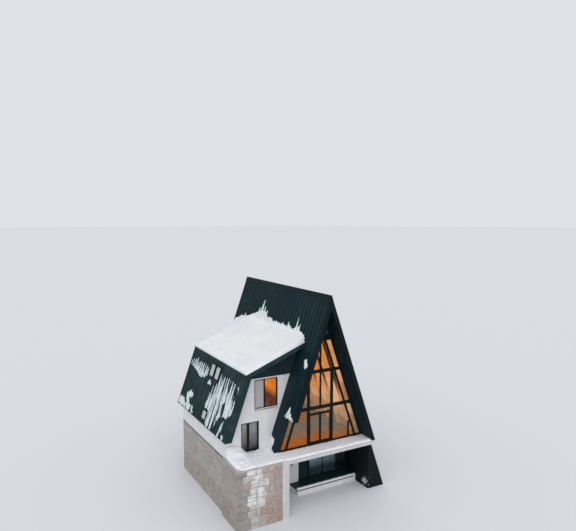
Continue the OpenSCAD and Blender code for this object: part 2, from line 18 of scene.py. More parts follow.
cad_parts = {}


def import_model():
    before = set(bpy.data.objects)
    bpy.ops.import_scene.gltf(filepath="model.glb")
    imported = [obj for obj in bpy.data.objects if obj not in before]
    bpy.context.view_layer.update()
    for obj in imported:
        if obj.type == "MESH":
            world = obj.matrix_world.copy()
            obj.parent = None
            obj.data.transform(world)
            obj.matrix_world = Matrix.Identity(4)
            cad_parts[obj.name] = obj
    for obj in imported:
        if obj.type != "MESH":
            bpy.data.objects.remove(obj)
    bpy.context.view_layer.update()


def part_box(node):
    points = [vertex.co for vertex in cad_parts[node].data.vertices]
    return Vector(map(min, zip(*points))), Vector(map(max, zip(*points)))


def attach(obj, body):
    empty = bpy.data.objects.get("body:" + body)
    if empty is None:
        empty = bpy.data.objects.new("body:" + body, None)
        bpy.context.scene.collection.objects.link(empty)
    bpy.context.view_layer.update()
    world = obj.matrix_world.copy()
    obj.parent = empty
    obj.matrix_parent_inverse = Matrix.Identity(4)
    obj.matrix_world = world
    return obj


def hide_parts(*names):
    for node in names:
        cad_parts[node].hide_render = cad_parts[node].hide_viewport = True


LOG = logging.getLogger("cabin")

Mesh = bmesh.types.BMesh
Corners = Iterable[bmesh.types.BMVert]
Material = bpy.types.Material
Socket = bpy.types.NodeSocket
Span = tuple[float, float]
Place = tuple[float, float, float]
Outline = tuple[Span, ...]
Stops = tuple[tuple[float, str], ...]

# Where the ridge line and the front glazing lie in the part's own frame
RIDGE_X, GLAZING_Y = 0.9502, -5.343
# Sockets of Blender's Mix node for colours
MIX_A, MIX_B, MIX_COLOUR = 6, 7, 2
DOWN = Vector((0, 0, -1))


class Slot(Enum):
    """The record's material slots."""

    ROOF = "roof_metal"
    TRIM = "trim_metal"
    BOARDS = "boards"
    PLASTER = "plaster"
    STONE = "stone"
    SNOW = "snow"
    TIMBER = "timber"
    FRAME = "frame_wood"


class Body(Enum):
    """The bodies that pieces ride on."""

    HOUSE = "house"
    DOOR = "door"


class Layer(Enum):
    """Attributes that give each stone and each board a look of its own."""

    STONE_TONE = "stone_tone"
    STONE_FROST = "stone_frost"
    BOARD_TONE = "board_tone"
    BOARD_BAND = "board_band"


@dataclass(frozen=True)
class Layout:
    """Main sizes of the house, the same as the solids have."""

    ridge_z: float = 14.3
    slope: float = 3.665 / 10.3
    deck_z: float = 4.0
    slab_top: float = 3.9
    slab_low: float = 3.6
    roof_front: float = -1.1
    roof_back: float = 11.786
    roof_t: float = 0.3
    passage_z: float = 6.29
    apex_z: float = 11.15
    cap_half: float = 0.075
    hall_back: float = 11.486
    eave_x: float = 5.48
    eave_z: float = 9.42
    meet_z: float = 11.07
    foot_z: float = 5.18
    wing_front: float = 0.45
    wing_back: float = 9.66
    wing_wall_y: float = 1.05
    wing_wall_back: float = 9.36
    verge: float = 0.06
    upper_t: float = 0.33
    steep_t: float = 0.45
    terrace_x: float = -6.82
    side_x: float = -6.66
    stone_end: float = -3.665
    porch_x: float = -1.24
    porch_y: float = 1.12
    porch_z: float = 0.4
    entry_y: float = 2.3
    cheek_x: float = 3.7
    base_front: float = -0.4

    @property
    def lean(self) -> float:
        """Angle of the steep roofs from upright."""
        return math.atan(self.slope)

    @property
    def roof_depth(self) -> float:
        """Thickness of the main roof, square to its faces."""
        return self.roof_t * math.cos(self.lean)

    @property
    def upper_pitch(self) -> float:
        """Rise of the wing's upper roof for each metre towards the ridge."""
        return (self.meet_z - self.eave_z) / (self.eave_x - self.main_x(self.meet_z))

    def main_x(self, z: float) -> float:
        """Distance of the main roof's outer face from the ridge line at a height."""
        return self.slope * (self.ridge_z - z)

    def main_z(self, x: float) -> float:
        """Height of the main roof's outer face at a distance from the ridge line."""
        return self.ridge_z - x / self.slope

    def wing_x(self, z: float) -> float:
        """Distance of the wing's steep roof from the ridge line at a height."""
        return self.eave_x + self.slope * (self.eave_z - z)

    def upper_z(self, x: float) -> float:
        """Height of the wing's upper roof at a distance from the ridge line."""
        return self.eave_z + (self.eave_x - x) * self.upper_pitch

    def under_upper(self, clear: float) -> tuple[Place, Place]:
        """Gives the plane under the wing's upper roof, some way clear of it."""
        point = (-self.eave_x, 0, self.eave_z - self.upper_t - clear)
        return point, (-self.upper_pitch, 0, 1)


HOUSE = Layout()


@dataclass(frozen=True)
class LeaningFace:
    """One steep outer face of the roofs.

    Attributes:
        side: -1 for a face that looks left, 1 for one that looks right.
        foot: distance of the face from the ridge line at height zero.
    """

    side: int
    foot: float

    @property
    def normal(self) -> Vector:
        """Direction that the face looks in."""
        return Vector((self.side, 0, HOUSE.slope)).normalized()

    def point(self, y: float, z: float, out: float = 0.0) -> Vector:
        """Gives a point on the face.

        Args:
            y: depth behind the front glazing.
            z: height above the ground.
            out: distance in front of the face.

        Returns:
            The point, laid out from the ridge line.
        """
        return Vector((self.side * (self.foot - HOUSE.slope * z), y, z)) + self.normal * out

    def bar(self, y: Span, z: Span, out: Span) -> Matrix:
        """Gives the matrix that turns a unit cube into a bar lying on the face.

        Args:
            y: front and back side of the bar.
            z: lower and upper end of the bar.
            out: distances of its under side and its top in front of the face.

        Returns:
            The cube's matrix.
        """
        middle = self.point(sum(y) / 2, sum(z) / 2, sum(out) / 2)
        length = (z[1] - z[0]) * math.hypot(1, HOUSE.slope)
        size = Vector((out[1] - out[0], y[1] - y[0], length, 1))
        turn = Matrix.Rotation(-self.side * HOUSE.lean, 4, "Y")
        return Matrix.Translation(middle) @ turn @ Matrix.Diagonal(size)


MAIN_LEFT = LeaningFace(-1, HOUSE.main_x(0))
MAIN_RIGHT = LeaningFace(1, HOUSE.main_x(0))
STEEP = LeaningFace(-1, HOUSE.wing_x(0))


def linear(colour: str) -> tuple[float, float, float, float]:
    """Turns an sRGB hex colour into the linear colour that a shader takes.

    Args:
        colour: the colour as six hex digits after a number sign.

    Returns:
        Red, green, blue and an alpha of one.
    """
    parts = [int(colour[i : i + 2], 16) / 255 for i in (1, 3, 5)]
    red, green, blue = (p / 12.92 if p <= 0.04045 else ((p + 0.055) / 1.055) ** 2.4 for p in parts)
    return red, green, blue, 1.0


def add_node(
    tree: bpy.types.NodeTree, kind: str, inputs: dict[Any, Any] | None = None, **settings: Any
) -> bpy.types.Node:
    """Adds one node to a tree with its settings and links.

    Args:
        tree: the tree of the material or world.
        kind: Blender's name for the kind of node, after ShaderNode.
        inputs: a value, a hex colour or a socket for each input, by the input's name or number.
        **settings: the node's own settings.

    Returns:
        The new node.
    """
    node = tree.nodes.new("ShaderNode" + kind)
    for name, value in settings.items():
        setattr(node, name, value)
    for key, value in (inputs or {}).items():
        if isinstance(value, Socket):
            tree.links.new(value, node.inputs[key])
        else:
            node.inputs[key].default_value = linear(value) if isinstance(value, str) else value
    return node


class Surface:
    """A material in the making: each method adds nodes and gives the socket they end in."""

    def __init__(self, name: str) -> None:
        """Starts a material whose patterns follow the part's own frame.

        Args:
            name: the material's name.
        """
        self.material = bpy.data.materials.new(name)
        self.material.use_nodes = True
        self.material.node_tree.nodes.clear()
        self.place = self.node("TexCoord", output="Object")

    def node(
        self,
        kind: str,
        inputs: dict[Any, Any] | None = None,
        output: int | str = 0,
        **settings: Any,
    ) -> Socket:
        """Adds one node and gives one of its outputs, by the output's name or number."""
        return add_node(self.material.node_tree, kind, inputs, **settings).outputs[output]

    def axis(self, index: int) -> Socket:
        """Gives one coordinate of the place: 0 across, 1 back and 2 up."""
        return self.node("SeparateXYZ", {0: self.place}, index)

    def layer(self, layer: Layer) -> Socket:
        """Gives the value of one of the mesh's attributes."""
        return self.node("Attribute", output="Fac", attribute_name=layer.value)

    def noise(self, size_mm: float | Place, detail: float, roughness: float = 0.5) -> Socket:
        """Adds a cloudy pattern.

        Args:
            size_mm: real size of its clouds, or their size along each axis.
            detail: number of finer patterns in it.
            roughness: how strong these are.

        Returns:
            The pattern's socket.
        """
        inputs = {"Vector": self.place, "Detail": detail, "Roughness": roughness}
        if isinstance(size_mm, tuple):
            scales = [1000 / size for size in size_mm]
            inputs["Vector"] = self.node("Mapping", {"Vector": self.place, "Scale": scales})
            inputs["Scale"] = 1.0
        else:
            inputs["Scale"] = 1000 / size_mm
        return self.node("TexNoise", inputs)

    def remap(self, value: Socket, source: Span = (0.0, 1.0), to: Span = (0.0, 1.0)) -> Socket:
        """Turns one range of a number into another and keeps the rest at its ends."""
        ends = {"From Min": source[0], "From Max": source[1], "To Min": to[0], "To Max": to[1]}
        return self.node("MapRange", {"Value": value, **ends})

    def math(self, kind: str, *values: float | Socket, clamp: bool = False) -> Socket:
        """Works out one number from two, by one of Blender's operations."""
        return self.node("Math", dict(enumerate(values)), operation=kind, use_clamp=clamp)

    def mix(self, share: Socket, first: str | Socket, second: str | Socket) -> Socket:
        """Mixes two colours."""
        inputs = {0: share, MIX_A: first, MIX_B: second}
        return self.node("Mix", inputs, MIX_COLOUR, data_type="RGBA")

    def scale(self, colour: Socket, factor: Socket) -> Socket:
        """Makes a colour darker or lighter."""
        return self.node("VectorMath", {0: colour, "Scale": factor}, operation="SCALE")

    def ramp(self, value: Socket, stops: Stops) -> Socket:
        """Adds colours that change with a number.

        Args:
            value: the number.
            stops: the number and the colour of each stop, by rising number.

        Returns:
            The colour's socket.
        """
        first, last = stops[0][0], stops[-1][0]
        share = self.remap(value, (first, last))
        node = add_node(self.material.node_tree, "ValToRGB", {"Fac": share})
        ends = node.color_ramp.elements
        ends[0].color, ends[-1].color = linear(stops[0][1]), linear(stops[-1][1])
        for at, colour in stops[1:-1]:
            ends.new((at - first) / (last - first)).color = linear(colour)
        return node.outputs[0]

    def bump(
        self, height: Socket, strength: float, distance: float, under: Socket | None = None
    ) -> Socket:
        """Adds the relief of a pattern, on top of coarser relief if there is some."""
        inputs = {"Height": height, "Strength": strength, "Distance": distance}
        return self.node("Bump", inputs if under is None else {**inputs, "Normal": under})

    def close(
        self, colour: str | Socket, roughness: float | Socket, more: dict[str, Any]
    ) -> Material:
        """Adds the shader and the output.

        Args:
            colour: the surface's colour.
            roughness: how dull it is.
            more: a value or a socket for each other input of the shader.

        Returns:
            The finished material.
        """
        shader = self.node(
            "BsdfPrincipled", {"Base Color": colour, "Roughness": roughness, **more}
        )
        add_node(self.material.node_tree, "OutputMaterial", {"Surface": shader})
        return self.material

    def close_glass(
        self, film: Socket, colours: tuple[str, str], roughness: float | Socket, gloss: float
    ) -> Material:
        """Adds the shader of glass that a film hides in part.

        Args:
            film: how dense the film is.
            colours: colours of the clean glass and of the film.
            roughness: how dull the pane is.
            gloss: how strongly it reflects.

        Returns:
            The finished material.
        """
        through = {"Transmission Weight": self.math("SUBTRACT", 1.0, film)}
        more = {"IOR": 1.45, "Specular IOR Level": gloss, **through}
        return self.close(self.mix(film, *colours), roughness, more)


class Finish(Protocol):
    """What every finish offers."""

    @property
    def name(self) -> str:
        """The material's name."""

    def make(self) -> Material:
        """Builds the material.

        Returns:
            The material.
        """


@dataclass(frozen=True)
class CoatedSheet:
    """Roll-formed steel sheet with a matt polyester coat.

    The coat is dark and even. Melt water leaves faint streaks down the slope, and thin frost
    dulls it in large soft areas.
    """

    name: str = "coated_steel_sheet"
    colour: str = "#0c2025"
    streak: str = "#152d33"
    frost: str = "#37494f"
    frost_share: float = 0.2
    streak_mm: Place = (840.0, 140.0, 1960.0)
    patch_mm: float = 1800.0

    def make(self) -> Material:
        """Builds the material.

        Returns:
            The material.
        """
        skin = Surface(self.name)
        streaks = skin.noise(self.streak_mm, detail=4.0)
        patches = skin.noise(self.patch_mm, detail=5.0, roughness=0.6)
        frosty = skin.remap(patches, (0.48, 0.78), (0.0, self.frost_share))
        colour = skin.mix(frosty, skin.mix(streaks, self.colour, self.streak), self.frost)
        dull = skin.remap(streaks, to=(0.42, 0.62))
        bump = skin.bump(streaks, strength=0.25, distance=0.004)
        return skin.close(colour, dull, {"Specular IOR Level": 0.1, "Normal": bump})


@dataclass(frozen=True)
class StainedWood:
    """Sawn softwood under a dark stain.

    The grain runs upright and shows as fine streaks of a lighter tone, and the wet winter air
    leaves the surface half dull. Real grain is a few millimetres wide, too fine for the
    picture, so it is drawn coarser.
    """

    name: str
    colour: str
    grain: str
    grain_mm: Place = (12.0, 12.0, 300.0)
    board_mm: Place = (140.0, 140.0, 1680.0)

    def make(self) -> Material:
        """Builds the material.

        Returns:
            The material.
        """
        skin = Surface(self.name)
        grain = skin.noise(self.grain_mm, detail=3.0)
        boards = skin.noise(self.board_mm, detail=2.0)
        tone = skin.remap(skin.math("MULTIPLY", grain, boards), (0.12, 0.42))
        colour = skin.mix(tone, self.colour, self.grain)
        bump = skin.bump(grain, strength=0.3, distance=0.003)
        return skin.close(colour, 0.66, {"Specular IOR Level": 0.16, "Normal": bump})


@dataclass(frozen=True)
class PaintedPlaster:
    """Floated lime and cement plaster under white masonry paint.

    The float leaves a sandy surface with shallow waves, and weather greys it in patches that
    run down from sills and edges. The sand is drawn coarser than its real two millimetres.
    """

    name: str = "painted_plaster"
    colour: str = "#dbdbdc"
    stain: str = "#cfcfd1"
    sand_mm: float = 18.0
    stain_mm: Place = (409.1, 409.1, 1125.0)

    def make(self) -> Material:
        """Builds the material.

        Returns:
            The material.
        """
        skin = Surface(self.name)
        stained = skin.remap(skin.noise(self.stain_mm, 6.0, 0.62), (0.4, 0.72))
        colour = skin.mix(stained, self.colour, self.stain)
        bump = skin.bump(skin.noise(self.sand_mm, 2.0), strength=0.35, distance=0.004)
        return skin.close(colour, 0.88, {"Specular IOR Level": 0.3, "Normal": bump})


@dataclass(frozen=True)
class SettledSnow:
    """Dry settled snow.

    It scatters light evenly, so it has no gloss. Wind leaves soft hollows, whose shade is painted
    in as a slightly bluer tint in soft patches, and a grain, which is drawn coarser than the real
    crystals.
    """

    name: str = "settled_snow"
    colour: str = "#dcdfe0"
    # Painted shade: the bluer tint of the hollows
    painted_hollow_shade: str = "#d5d8da"
    hollow_mm: float = 1300.0
    grain_mm: float = 70.0

    def make(self) -> Material:
        """Builds the material.

        Returns:
            The material.
        """
        skin = Surface(self.name)
        wide = skin.noise(self.hollow_mm, detail=4.0, roughness=0.55)
        # Painted shade of the hollows: a slightly bluer tint in soft patches
        colour = skin.mix(skin.remap(wide, (0.42, 0.7)), self.colour, self.painted_hollow_shade)
        soft = skin.bump(wide, strength=0.35, distance=0.06)
        bump = skin.bump(skin.noise(self.grain_mm, 4.0), 0.35, 0.012, under=soft)
        return skin.close(colour, 0.95, {"Specular IOR Level": 0.2, "Normal": bump})


@dataclass(frozen=True)
class RoughStone:
    """Split sandstone and river stone, laid as rubble.

    Each stone has a tone of its own, from grey to brown and pink, given by its attribute. Damp
    stains run over the joints, and the broken faces are grainy and fully dull. The grit is
    drawn coarser than the real grains.
    """

    name: str = "split_rubble_stone"
    cold: str = "#94948f"
    warm: str = "#ab9080"
    pale: str = "#d9d9d9"
    grit_mm: float = 35.0
    stain_mm: float = 320.0

    def make(self) -> Material:
        """Builds the material.

        Returns:
            The material.
        """
        skin = Surface(self.name)
        grit = skin.noise(self.grit_mm, detail=5.0, roughness=0.65)
        stains = skin.noise(self.stain_mm, detail=4.0)
        spread = skin.remap(stains, (0.3, 0.7), (-0.4, 0.4))
        brown = skin.math("ADD", skin.layer(Layer.STONE_TONE), spread)
        dark = skin.remap(grit, (0.3, 0.7), (0.72, 1.12))
        damp = skin.remap(stains, (0.35, 0.55), (0.8, 1.0))
        shadow = skin.math("MULTIPLY", dark, damp)
        stone = skin.scale(skin.mix(brown, self.cold, self.warm), shadow)
        worn = skin.remap(stains, (0.4, 0.6), (1.1, 0.6))
        dusting = skin.math("MULTIPLY", skin.layer(Layer.STONE_FROST), worn, clamp=True)
        bump = skin.bump(grit, strength=0.6, distance=0.01)
        more = {"Specular IOR Level": 0.25, "Normal": bump}
        return skin.close(skin.mix(dusting, stone, self.pale), 0.92, more)


@dataclass(frozen=True)
class PaintedLampLightPine:
    """Planed pine boards under clear oil, which glow with painted lamplight.

    The oil keeps the wood's warm tone and a low sheen, and no board has quite its neighbour's
    tone. Lamplight is painted on: the boards glow in soft pools, and their colour is the most
    golden under the ridge. Near the glazing and low down, a painted cool daylight takes the warmth
    out of the colour. The grain is drawn coarser than its real few millimetres.

    Attributes:
        name: the material's name.
        tones: the boards' colour by depth behind the front glazing, with painted light in it: cool
            daylight near the glazing and golden lamplight far back.
        painted_daylight_tone: the colour of the painted daylight on the lowest boards.
        daylight: heights between which painted daylight gives way to painted lamplight.
        golden: heights between which the boards take the painted golden lamplight of the boards
            far back.
        further: how much further back the highest boards seem to lie, for that painted lamplight.
        pale: colour of the palest boards.
        glow: strength of the painted lamplight, which the boards give off, at two heights.
        painted_glow_z: these heights.
        painted_pool_mm: size of the painted pools of light.
        grain_mm: size of the grain's streaks.
    """

    name: str = "oiled_pine_boards"
    tones: Stops = (
        (0.4, "#a37650"),
        (1.2, "#d4a47e"),
        (2.3, "#e0b48c"),
        (3.6, "#d8a064"),
        (4.8, "#d9943f"),
        (7.0, "#d68c30"),
    )
    painted_daylight_tone: str = "#8b7561"
    daylight: Span = (4.6, 6.0)
    golden: Span = (7.6, 9.2)
    further: float = 2.6
    pale: str = "#d1b396"
    glow: Span = (0.74, 0.64)
    painted_glow_z: Span = (5.6, 8.6)
    painted_pool_mm: float = 800.0
    grain_mm: Place = (30.0, 540.0, 30.0)

    def make(self) -> Material:
        """Builds the material.

        Returns:
            The material.
        """
        skin = Surface(self.name)
        height = skin.axis(2)
        grain = skin.noise(self.grain_mm, detail=3.0)
        # Painted light in the colour: cool daylight near the glazing, golden lamplight far back
        # and high up
        raised = skin.remap(height, self.golden, (-GLAZING_Y, self.further - GLAZING_Y))
        far = skin.ramp(skin.math("ADD", skin.axis(1), raised), self.tones)
        # Painted daylight: the lowest boards take a cool grey-brown
        wood = skin.mix(skin.remap(height, self.daylight), self.painted_daylight_tone, far)
        paled = skin.mix(skin.layer(Layer.BOARD_BAND), wood, self.pale)
        mixed = skin.math("ADD", grain, skin.layer(Layer.BOARD_TONE))
        grained = skin.scale(paled, skin.remap(mixed, (0.3, 1.6), (0.84, 1.12)))
        # Painted pools of lamplight in the glow
        pool = skin.remap(skin.noise(self.painted_pool_mm, 2.0), (0.35, 0.65), (0.76, 1.2))
        more = {
            "Specular IOR Level": 0.3,
            "Normal": skin.bump(grain, strength=0.2, distance=0.002),
            # Painted lamplight: the boards glow, though they are no lamp
            "Emission Color": grained,
            "Emission Strength": skin.math(
                "MULTIPLY", skin.remap(height, self.painted_glow_z, self.glow), pool
            ),
        }
        return skin.close(grained, 0.48, more)


@dataclass(frozen=True)
class PaintedLampLightFloor:
    """Oiled oak floorboards with two warm pools of painted lamplight, one behind the glazing.

    The oil leaves a soft gloss. The painted pools end raggedly, and past them the boards are
    painted brown and then grey, as daylight would show them. The boards glow with this painted
    light. The grain is drawn coarser than it is.

    Attributes:
        name: the material's name.
        tones: the boards' colour by distance from the middle of a pool, which paints its light.
        pools: place of each painted pool's middle from the ridge line and the front glazing, how
            much slower its painted light fades sideways, and how much weaker it is than the first.
        fray_mm: size of the ragged bits of the pool's rim.
        grain_mm: size of the grain's streaks.
    """

    name: str = "oiled_oak_floor"
    tones: Stops = (
        (0.75, "#a35c20"),
        (1.3, "#92623c"),
        (1.75, "#7f6953"),
        (2.2, "#6e6f68"),
        (3.6, "#66726f"),
    )
    pools: tuple[tuple[float, float, float, float], ...] = (
        (-0.5, 0.5, 0.38, 0.0),
        (1.5, 5.35, 1.0, 0.75),
    )
    fray_mm: float = 700.0
    grain_mm: Place = (30.0, 540.0, 30.0)

    def make(self) -> Material:
        """Builds the material.

        Returns:
            The material.
        """
        skin = Surface(self.name)
        # Distance from the nearest painted pool of lamplight, with a ragged rim
        reaches = []
        for x, y, squeeze, weaker in self.pools:
            middle = (-(x + RIDGE_X) * squeeze, -(y + GLAZING_Y), 0.0)
            inputs = {"Vector": skin.place, "Location": middle, "Scale": (squeeze, 1.0, 0.0)}
            from_pool = skin.node("Mapping", inputs)
            length = skin.node("VectorMath", {0: from_pool}, "Value", operation="LENGTH")
            reaches.append(skin.math("ADD", length, weaker))
        rim = skin.remap(skin.noise(self.fray_mm, 3.0), (0.3, 0.7), (-0.35, 0.35))
        away = skin.math("ADD", skin.math("MINIMUM", *reaches), rim)
        grain = skin.noise(self.grain_mm, detail=3.0)
        mixed = skin.math("ADD", grain, skin.layer(Layer.BOARD_TONE))
        shade = skin.remap(mixed, (0.3, 1.6), (0.8, 1.15))
        # The colour paints the pools' light: warm near their middles, brown and grey past them
        varied = skin.scale(skin.ramp(away, self.tones), shade)
        # Painted lamplight: the boards glow, though they are no lamp
        lamplight = {"Emission Color": varied, "Emission Strength": 0.5}
        return skin.close(varied, 0.4, {"Specular IOR Level": 0.3, **lamplight})


@dataclass(frozen=True)
class SlateTile:
    """Riven slate tiles, dark and damp.

    The split face is uneven, so the wet surface shines only here and there.
    """

    name: str = "riven_slate"
    colour: str = "#0e2227"
    dry: str = "#1c353c"
    split_mm: float = 220.0

    def make(self) -> Material:
        """Builds the material.

        Returns:
            The material.
        """
        skin = Surface(self.name)
        split = skin.noise(self.split_mm, detail=6.0, roughness=0.6)
        damp = skin.remap(split, (0.4, 0.6), (0.35, 0.7))
        bump = skin.bump(split, strength=0.4, distance=0.006)
        colour = skin.mix(split, self.colour, self.dry)
        return skin.close(colour, damp, {"Specular IOR Level": 0.3, "Normal": bump})


@dataclass(frozen=True)
class PaneGlass:
    """Clear float glass with a coat that takes most of the reflection away.

    It is smooth and nearly colourless, so the room behind it shows warm and strong with its
    painted lamplight, and a faint haze dulls its gloss in places.

    Attributes:
        name: the material's name.
        colour: colour of the clean glass.
        coat_ior: how the coat bends light, which sets how little it reflects.
        haze_mm: size of the haze's clouds.
    """

    name: str = "coated_float_glass"
    colour: str = "#f3f5f4"
    coat_ior: float = 1.2
    haze_mm: float = 666.7

    def make(self) -> Material:
        """Builds the material.

        Returns:
            The material.
        """
        skin = Surface(self.name)
        rough = skin.remap(skin.noise(self.haze_mm, 3.0), (0.35, 0.7), (0.0, 0.05))
        return skin.close(self.colour, rough, {"IOR": self.coat_ior, "Transmission Weight": 1.0})


@dataclass(frozen=True)
class RimedGlass:
    """Float glass of the small windows, with rime on the panes of the coldest corner.

    Rime is a thin white film that grows from the edge of the frame. It hides what is behind the
    pane and looks pale grey, and the other panes stay nearly clear.

    Attributes:
        name: the material's name.
        film: colour of the rime.
        clear: colour of the clean glass.
        edge: where the rimed pane ends, towards the ridge, in the part's frame.
        low: height below which the rime is thinner.
        fade: how far below that height it is gone.
        streak_mm: size of the rime's streaks.
    """

    name: str = "rimed_float_glass"
    film: str = "#aeaaaa"
    clear: str = "#f3f5f4"
    edge: float = -2.862
    low: float = 6.4
    fade: float = 2.2
    streak_mm: Place = (110.0, 110.0, 770.0)

    def make(self) -> Material:
        """Builds the material.

        Returns:
            The material.
        """
        skin = Surface(self.name)
        height = skin.axis(2)
        side = skin.remap(skin.axis(0), (self.edge, self.edge + 0.02), (1.0, 0.02))
        thin = skin.remap(height, (self.low - self.fade, self.low), (0.0, 0.42))
        amount = skin.math("MAXIMUM", thin, skin.math("GREATER_THAN", height, self.low))
        thick = skin.remap(skin.noise(self.streak_mm, 3.0), (0.3, 0.7), (0.8, 1.0))
        rime = skin.math("MULTIPLY", skin.math("MULTIPLY", side, amount), thick)
        rough = skin.remap(rime, to=(0.02, 0.5))
        return skin.close_glass(rime, (self.clear, self.film), rough, gloss=0.35)


@dataclass(frozen=True)
class TintedGlass:
    """Blue-grey tinted float glass of the ground storey.

    The tint cools what shows through it. The high panes carry a painted reflection of the bright
    snow, a pale grey film, which fades out on the right, where the panes lie in shade.

    Attributes:
        name: the material's name.
        tint: colour of the clean glass.
        film: colour of the painted reflection.
        painted_reflection_z: heights between which the painted reflection grows dense.
        painted_reflection_end: distances from the ridge line between which the painted reflection
            fades out on the right, as painted shade.
        patch_mm: size of the painted reflection's clouds.
    """

    name: str = "tinted_float_glass"
    tint: str = "#8eb0bd"
    # Painted reflection of the bright snow in the high panes
    film: str = "#a2c2cc"
    painted_reflection_z: Span = (1.0, 1.9)
    painted_reflection_end: Span = (2.7, 2.95)
    patch_mm: float = 500.0

    def make(self) -> Material:
        """Builds the material.

        Returns:
            The material.
        """
        skin = Surface(self.name)
        # Painted reflection: the pale film grows dense up the panes
        high = skin.remap(skin.axis(2), self.painted_reflection_z, (0.1, 0.8))
        thick = skin.remap(skin.noise(self.patch_mm, 3.0), (0.3, 0.7), (0.6, 1.0))
        left, right = (x + RIDGE_X for x in self.painted_reflection_end)
        # Painted shade: the reflection fades out on the right
        ended = skin.remap(skin.axis(0), (left, right), (1.0, 0.2))
        share = skin.math("MULTIPLY", skin.math("MULTIPLY", high, thick), ended)
        return skin.close_glass(share, (self.tint, self.film), 0.12, gloss=0.4)


@dataclass(frozen=True)
class PaleRoofWindowGlass:
    """Roof window glass, drawn as an opaque pale grey that hides the room behind it.

    It is paler in some cloudy patches and darker in others.
    """

    name: str = "pale_roof_window_glass"
    colour: str = "#c4cbca"
    clear: str = "#8e9894"
    patch_mm: float = 260.0

    def make(self) -> Material:
        """Builds the material.

        Returns:
            The material.
        """
        skin = Surface(self.name)
        colour = skin.mix(skin.noise(self.patch_mm, 4.0), self.clear, self.colour)
        return skin.close(colour, 0.45, {"Coat Weight": 0.3, "Coat Roughness": 0.1})


@dataclass(frozen=True)
class PlainConcrete:
    """Cast concrete, left as it came from its boards: grey, dull and slightly mottled."""

    name: str = "cast_concrete"
    colour: str = "#8f9193"
    dark: str = "#77797c"
    mottle_mm: float = 350.0

    def make(self) -> Material:
        """Builds the material.

        Returns:
            The material.
        """
        skin = Surface(self.name)
        mottle = skin.noise(self.mottle_mm, detail=6.0, roughness=0.65)
        bump = skin.bump(mottle, strength=0.3, distance=0.006)
        return skin.close(skin.mix(mottle, self.dark, self.colour), 0.85, {"Normal": bump})


class Workshop:
    """Keeps the finished materials and turns meshes into pieces of the part."""

    def __init__(self) -> None:
        """Works out where the layout's origin is in the part's own frame."""
        low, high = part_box("ridge_cap")
        self.shift = Vector(((low.x + high.x) / 2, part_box("front_frame")[0].y, 0))
        self.made: dict[str, Material] = {}

    def finish(self, finish: Finish) -> Material:
        """Gives a finish's material, and makes it only once.

        Args:
            finish: one of the finishes above.

        Returns:
            The finish's material.
        """
        if finish.name not in self.made:
            self.made[finish.name] = finish.make()
        return self.made[finish.name]

    def piece(
        self,
        mesh: Mesh,
        name: str,
        finish: Finish,
        slot: Slot,
        body: Body = Body.HOUSE,
        replaces: tuple[str, ...] = (),
        smooth: bool = False,
    ) -> None:
        """Makes a piece of the part from a finished mesh, with its place in the mesh.

        Args:
            mesh: the mesh, laid out from the ridge line; it is freed.
            name: the piece's name.
            finish: what the piece's surface is made of.
            slot: the record's material slot; it is not used.
            body: the body that the piece rides on.
            replaces: names of the solids that the piece stands for.
            smooth: whether its faces are shaded as one smooth surface.
        """
        bmesh.ops.translate(mesh, verts=mesh.verts[:], vec=self.shift)
        bmesh.ops.recalc_face_normals(mesh, faces=mesh.faces[:])
        for face in mesh.faces:
            face.smooth = smooth
        piece = add_object(name, finished_mesh(mesh, name, self.finish(finish)))
        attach(piece, body.value)
        if replaces:
            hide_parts(*replaces)
        LOG.info("%s: %d faces", name, len(piece.data.polygons))

    def dress(self, finish: Finish, *nodes: str) -> None:
        """Gives solids that stay in view a finish.

        Args:
            finish: what their surface is made of.
            *nodes: the solids' names.
        """
        for name in nodes:
            data = bpy.data.objects[name].data
            data.materials.clear()
            data.materials.append(self.finish(finish))


def finished_mesh(mesh: Mesh, name: str, material: Material) -> bpy.types.Mesh:
    """Turns a mesh in the making into Blender's own kind.

    Args:
        mesh: the mesh; it is freed.
        name: the new mesh's name.
        material: what it is made of.

    Returns:
        The new mesh.
    """
    data = bpy.data.meshes.new(name)
    mesh.to_mesh(data)
    mesh.free()
    data.materials.append(material)
    return data


def add_object(name: str, data: bpy.types.ID) -> bpy.types.Object:
    """Makes an object and puts it in the scene.

    Args:
        name: the object's name.
        data: its mesh, camera or light.

    Returns:
        The new object.
    """
    made = bpy.data.objects.new(name, data)
    bpy.context.scene.collection.objects.link(made)
    return made


def start_mesh(*layers: Layer) -> Mesh:
    """Starts a mesh with some attributes.

    Args:
        *layers: the attributes.

    Returns:
        The empty mesh.
    """
    mesh = bmesh.new()
    for layer in layers:
        mesh.verts.layers.float.new(layer.value)
    return mesh


def set_layer(mesh: Mesh, corners: Corners, layer: Layer, value: float) -> None:
    """Gives some of a mesh's corners a value of an attribute.

    Args:
        mesh: the mesh.
        corners: the corners.
        layer: the attribute.
        value: its value.
    """
    key = mesh.verts.layers.float[layer.value]
    for v in corners:
        v[key] = value


def add_cube(mesh: Mesh, matrix: Matrix) -> Corners:
    """Adds a unit cube, shaped and placed by a matrix, and gives its corners."""
    return bmesh.ops.create_cube(mesh, size=1, matrix=matrix)["verts"]


def add_box(mesh: Mesh, low: Place, high: Place) -> Corners:
    """Adds a box to a mesh.

    Args:
        mesh: the mesh.
        low: the box's lowest corner.
        high: its highest corner.

    Returns:
        The box's corners.
    """
    low, high = Vector(low), Vector(high)
    size = Matrix.Diagonal((*(high - low), 1))
    return add_cube(mesh, Matrix.Translation((low + high) / 2) @ size)


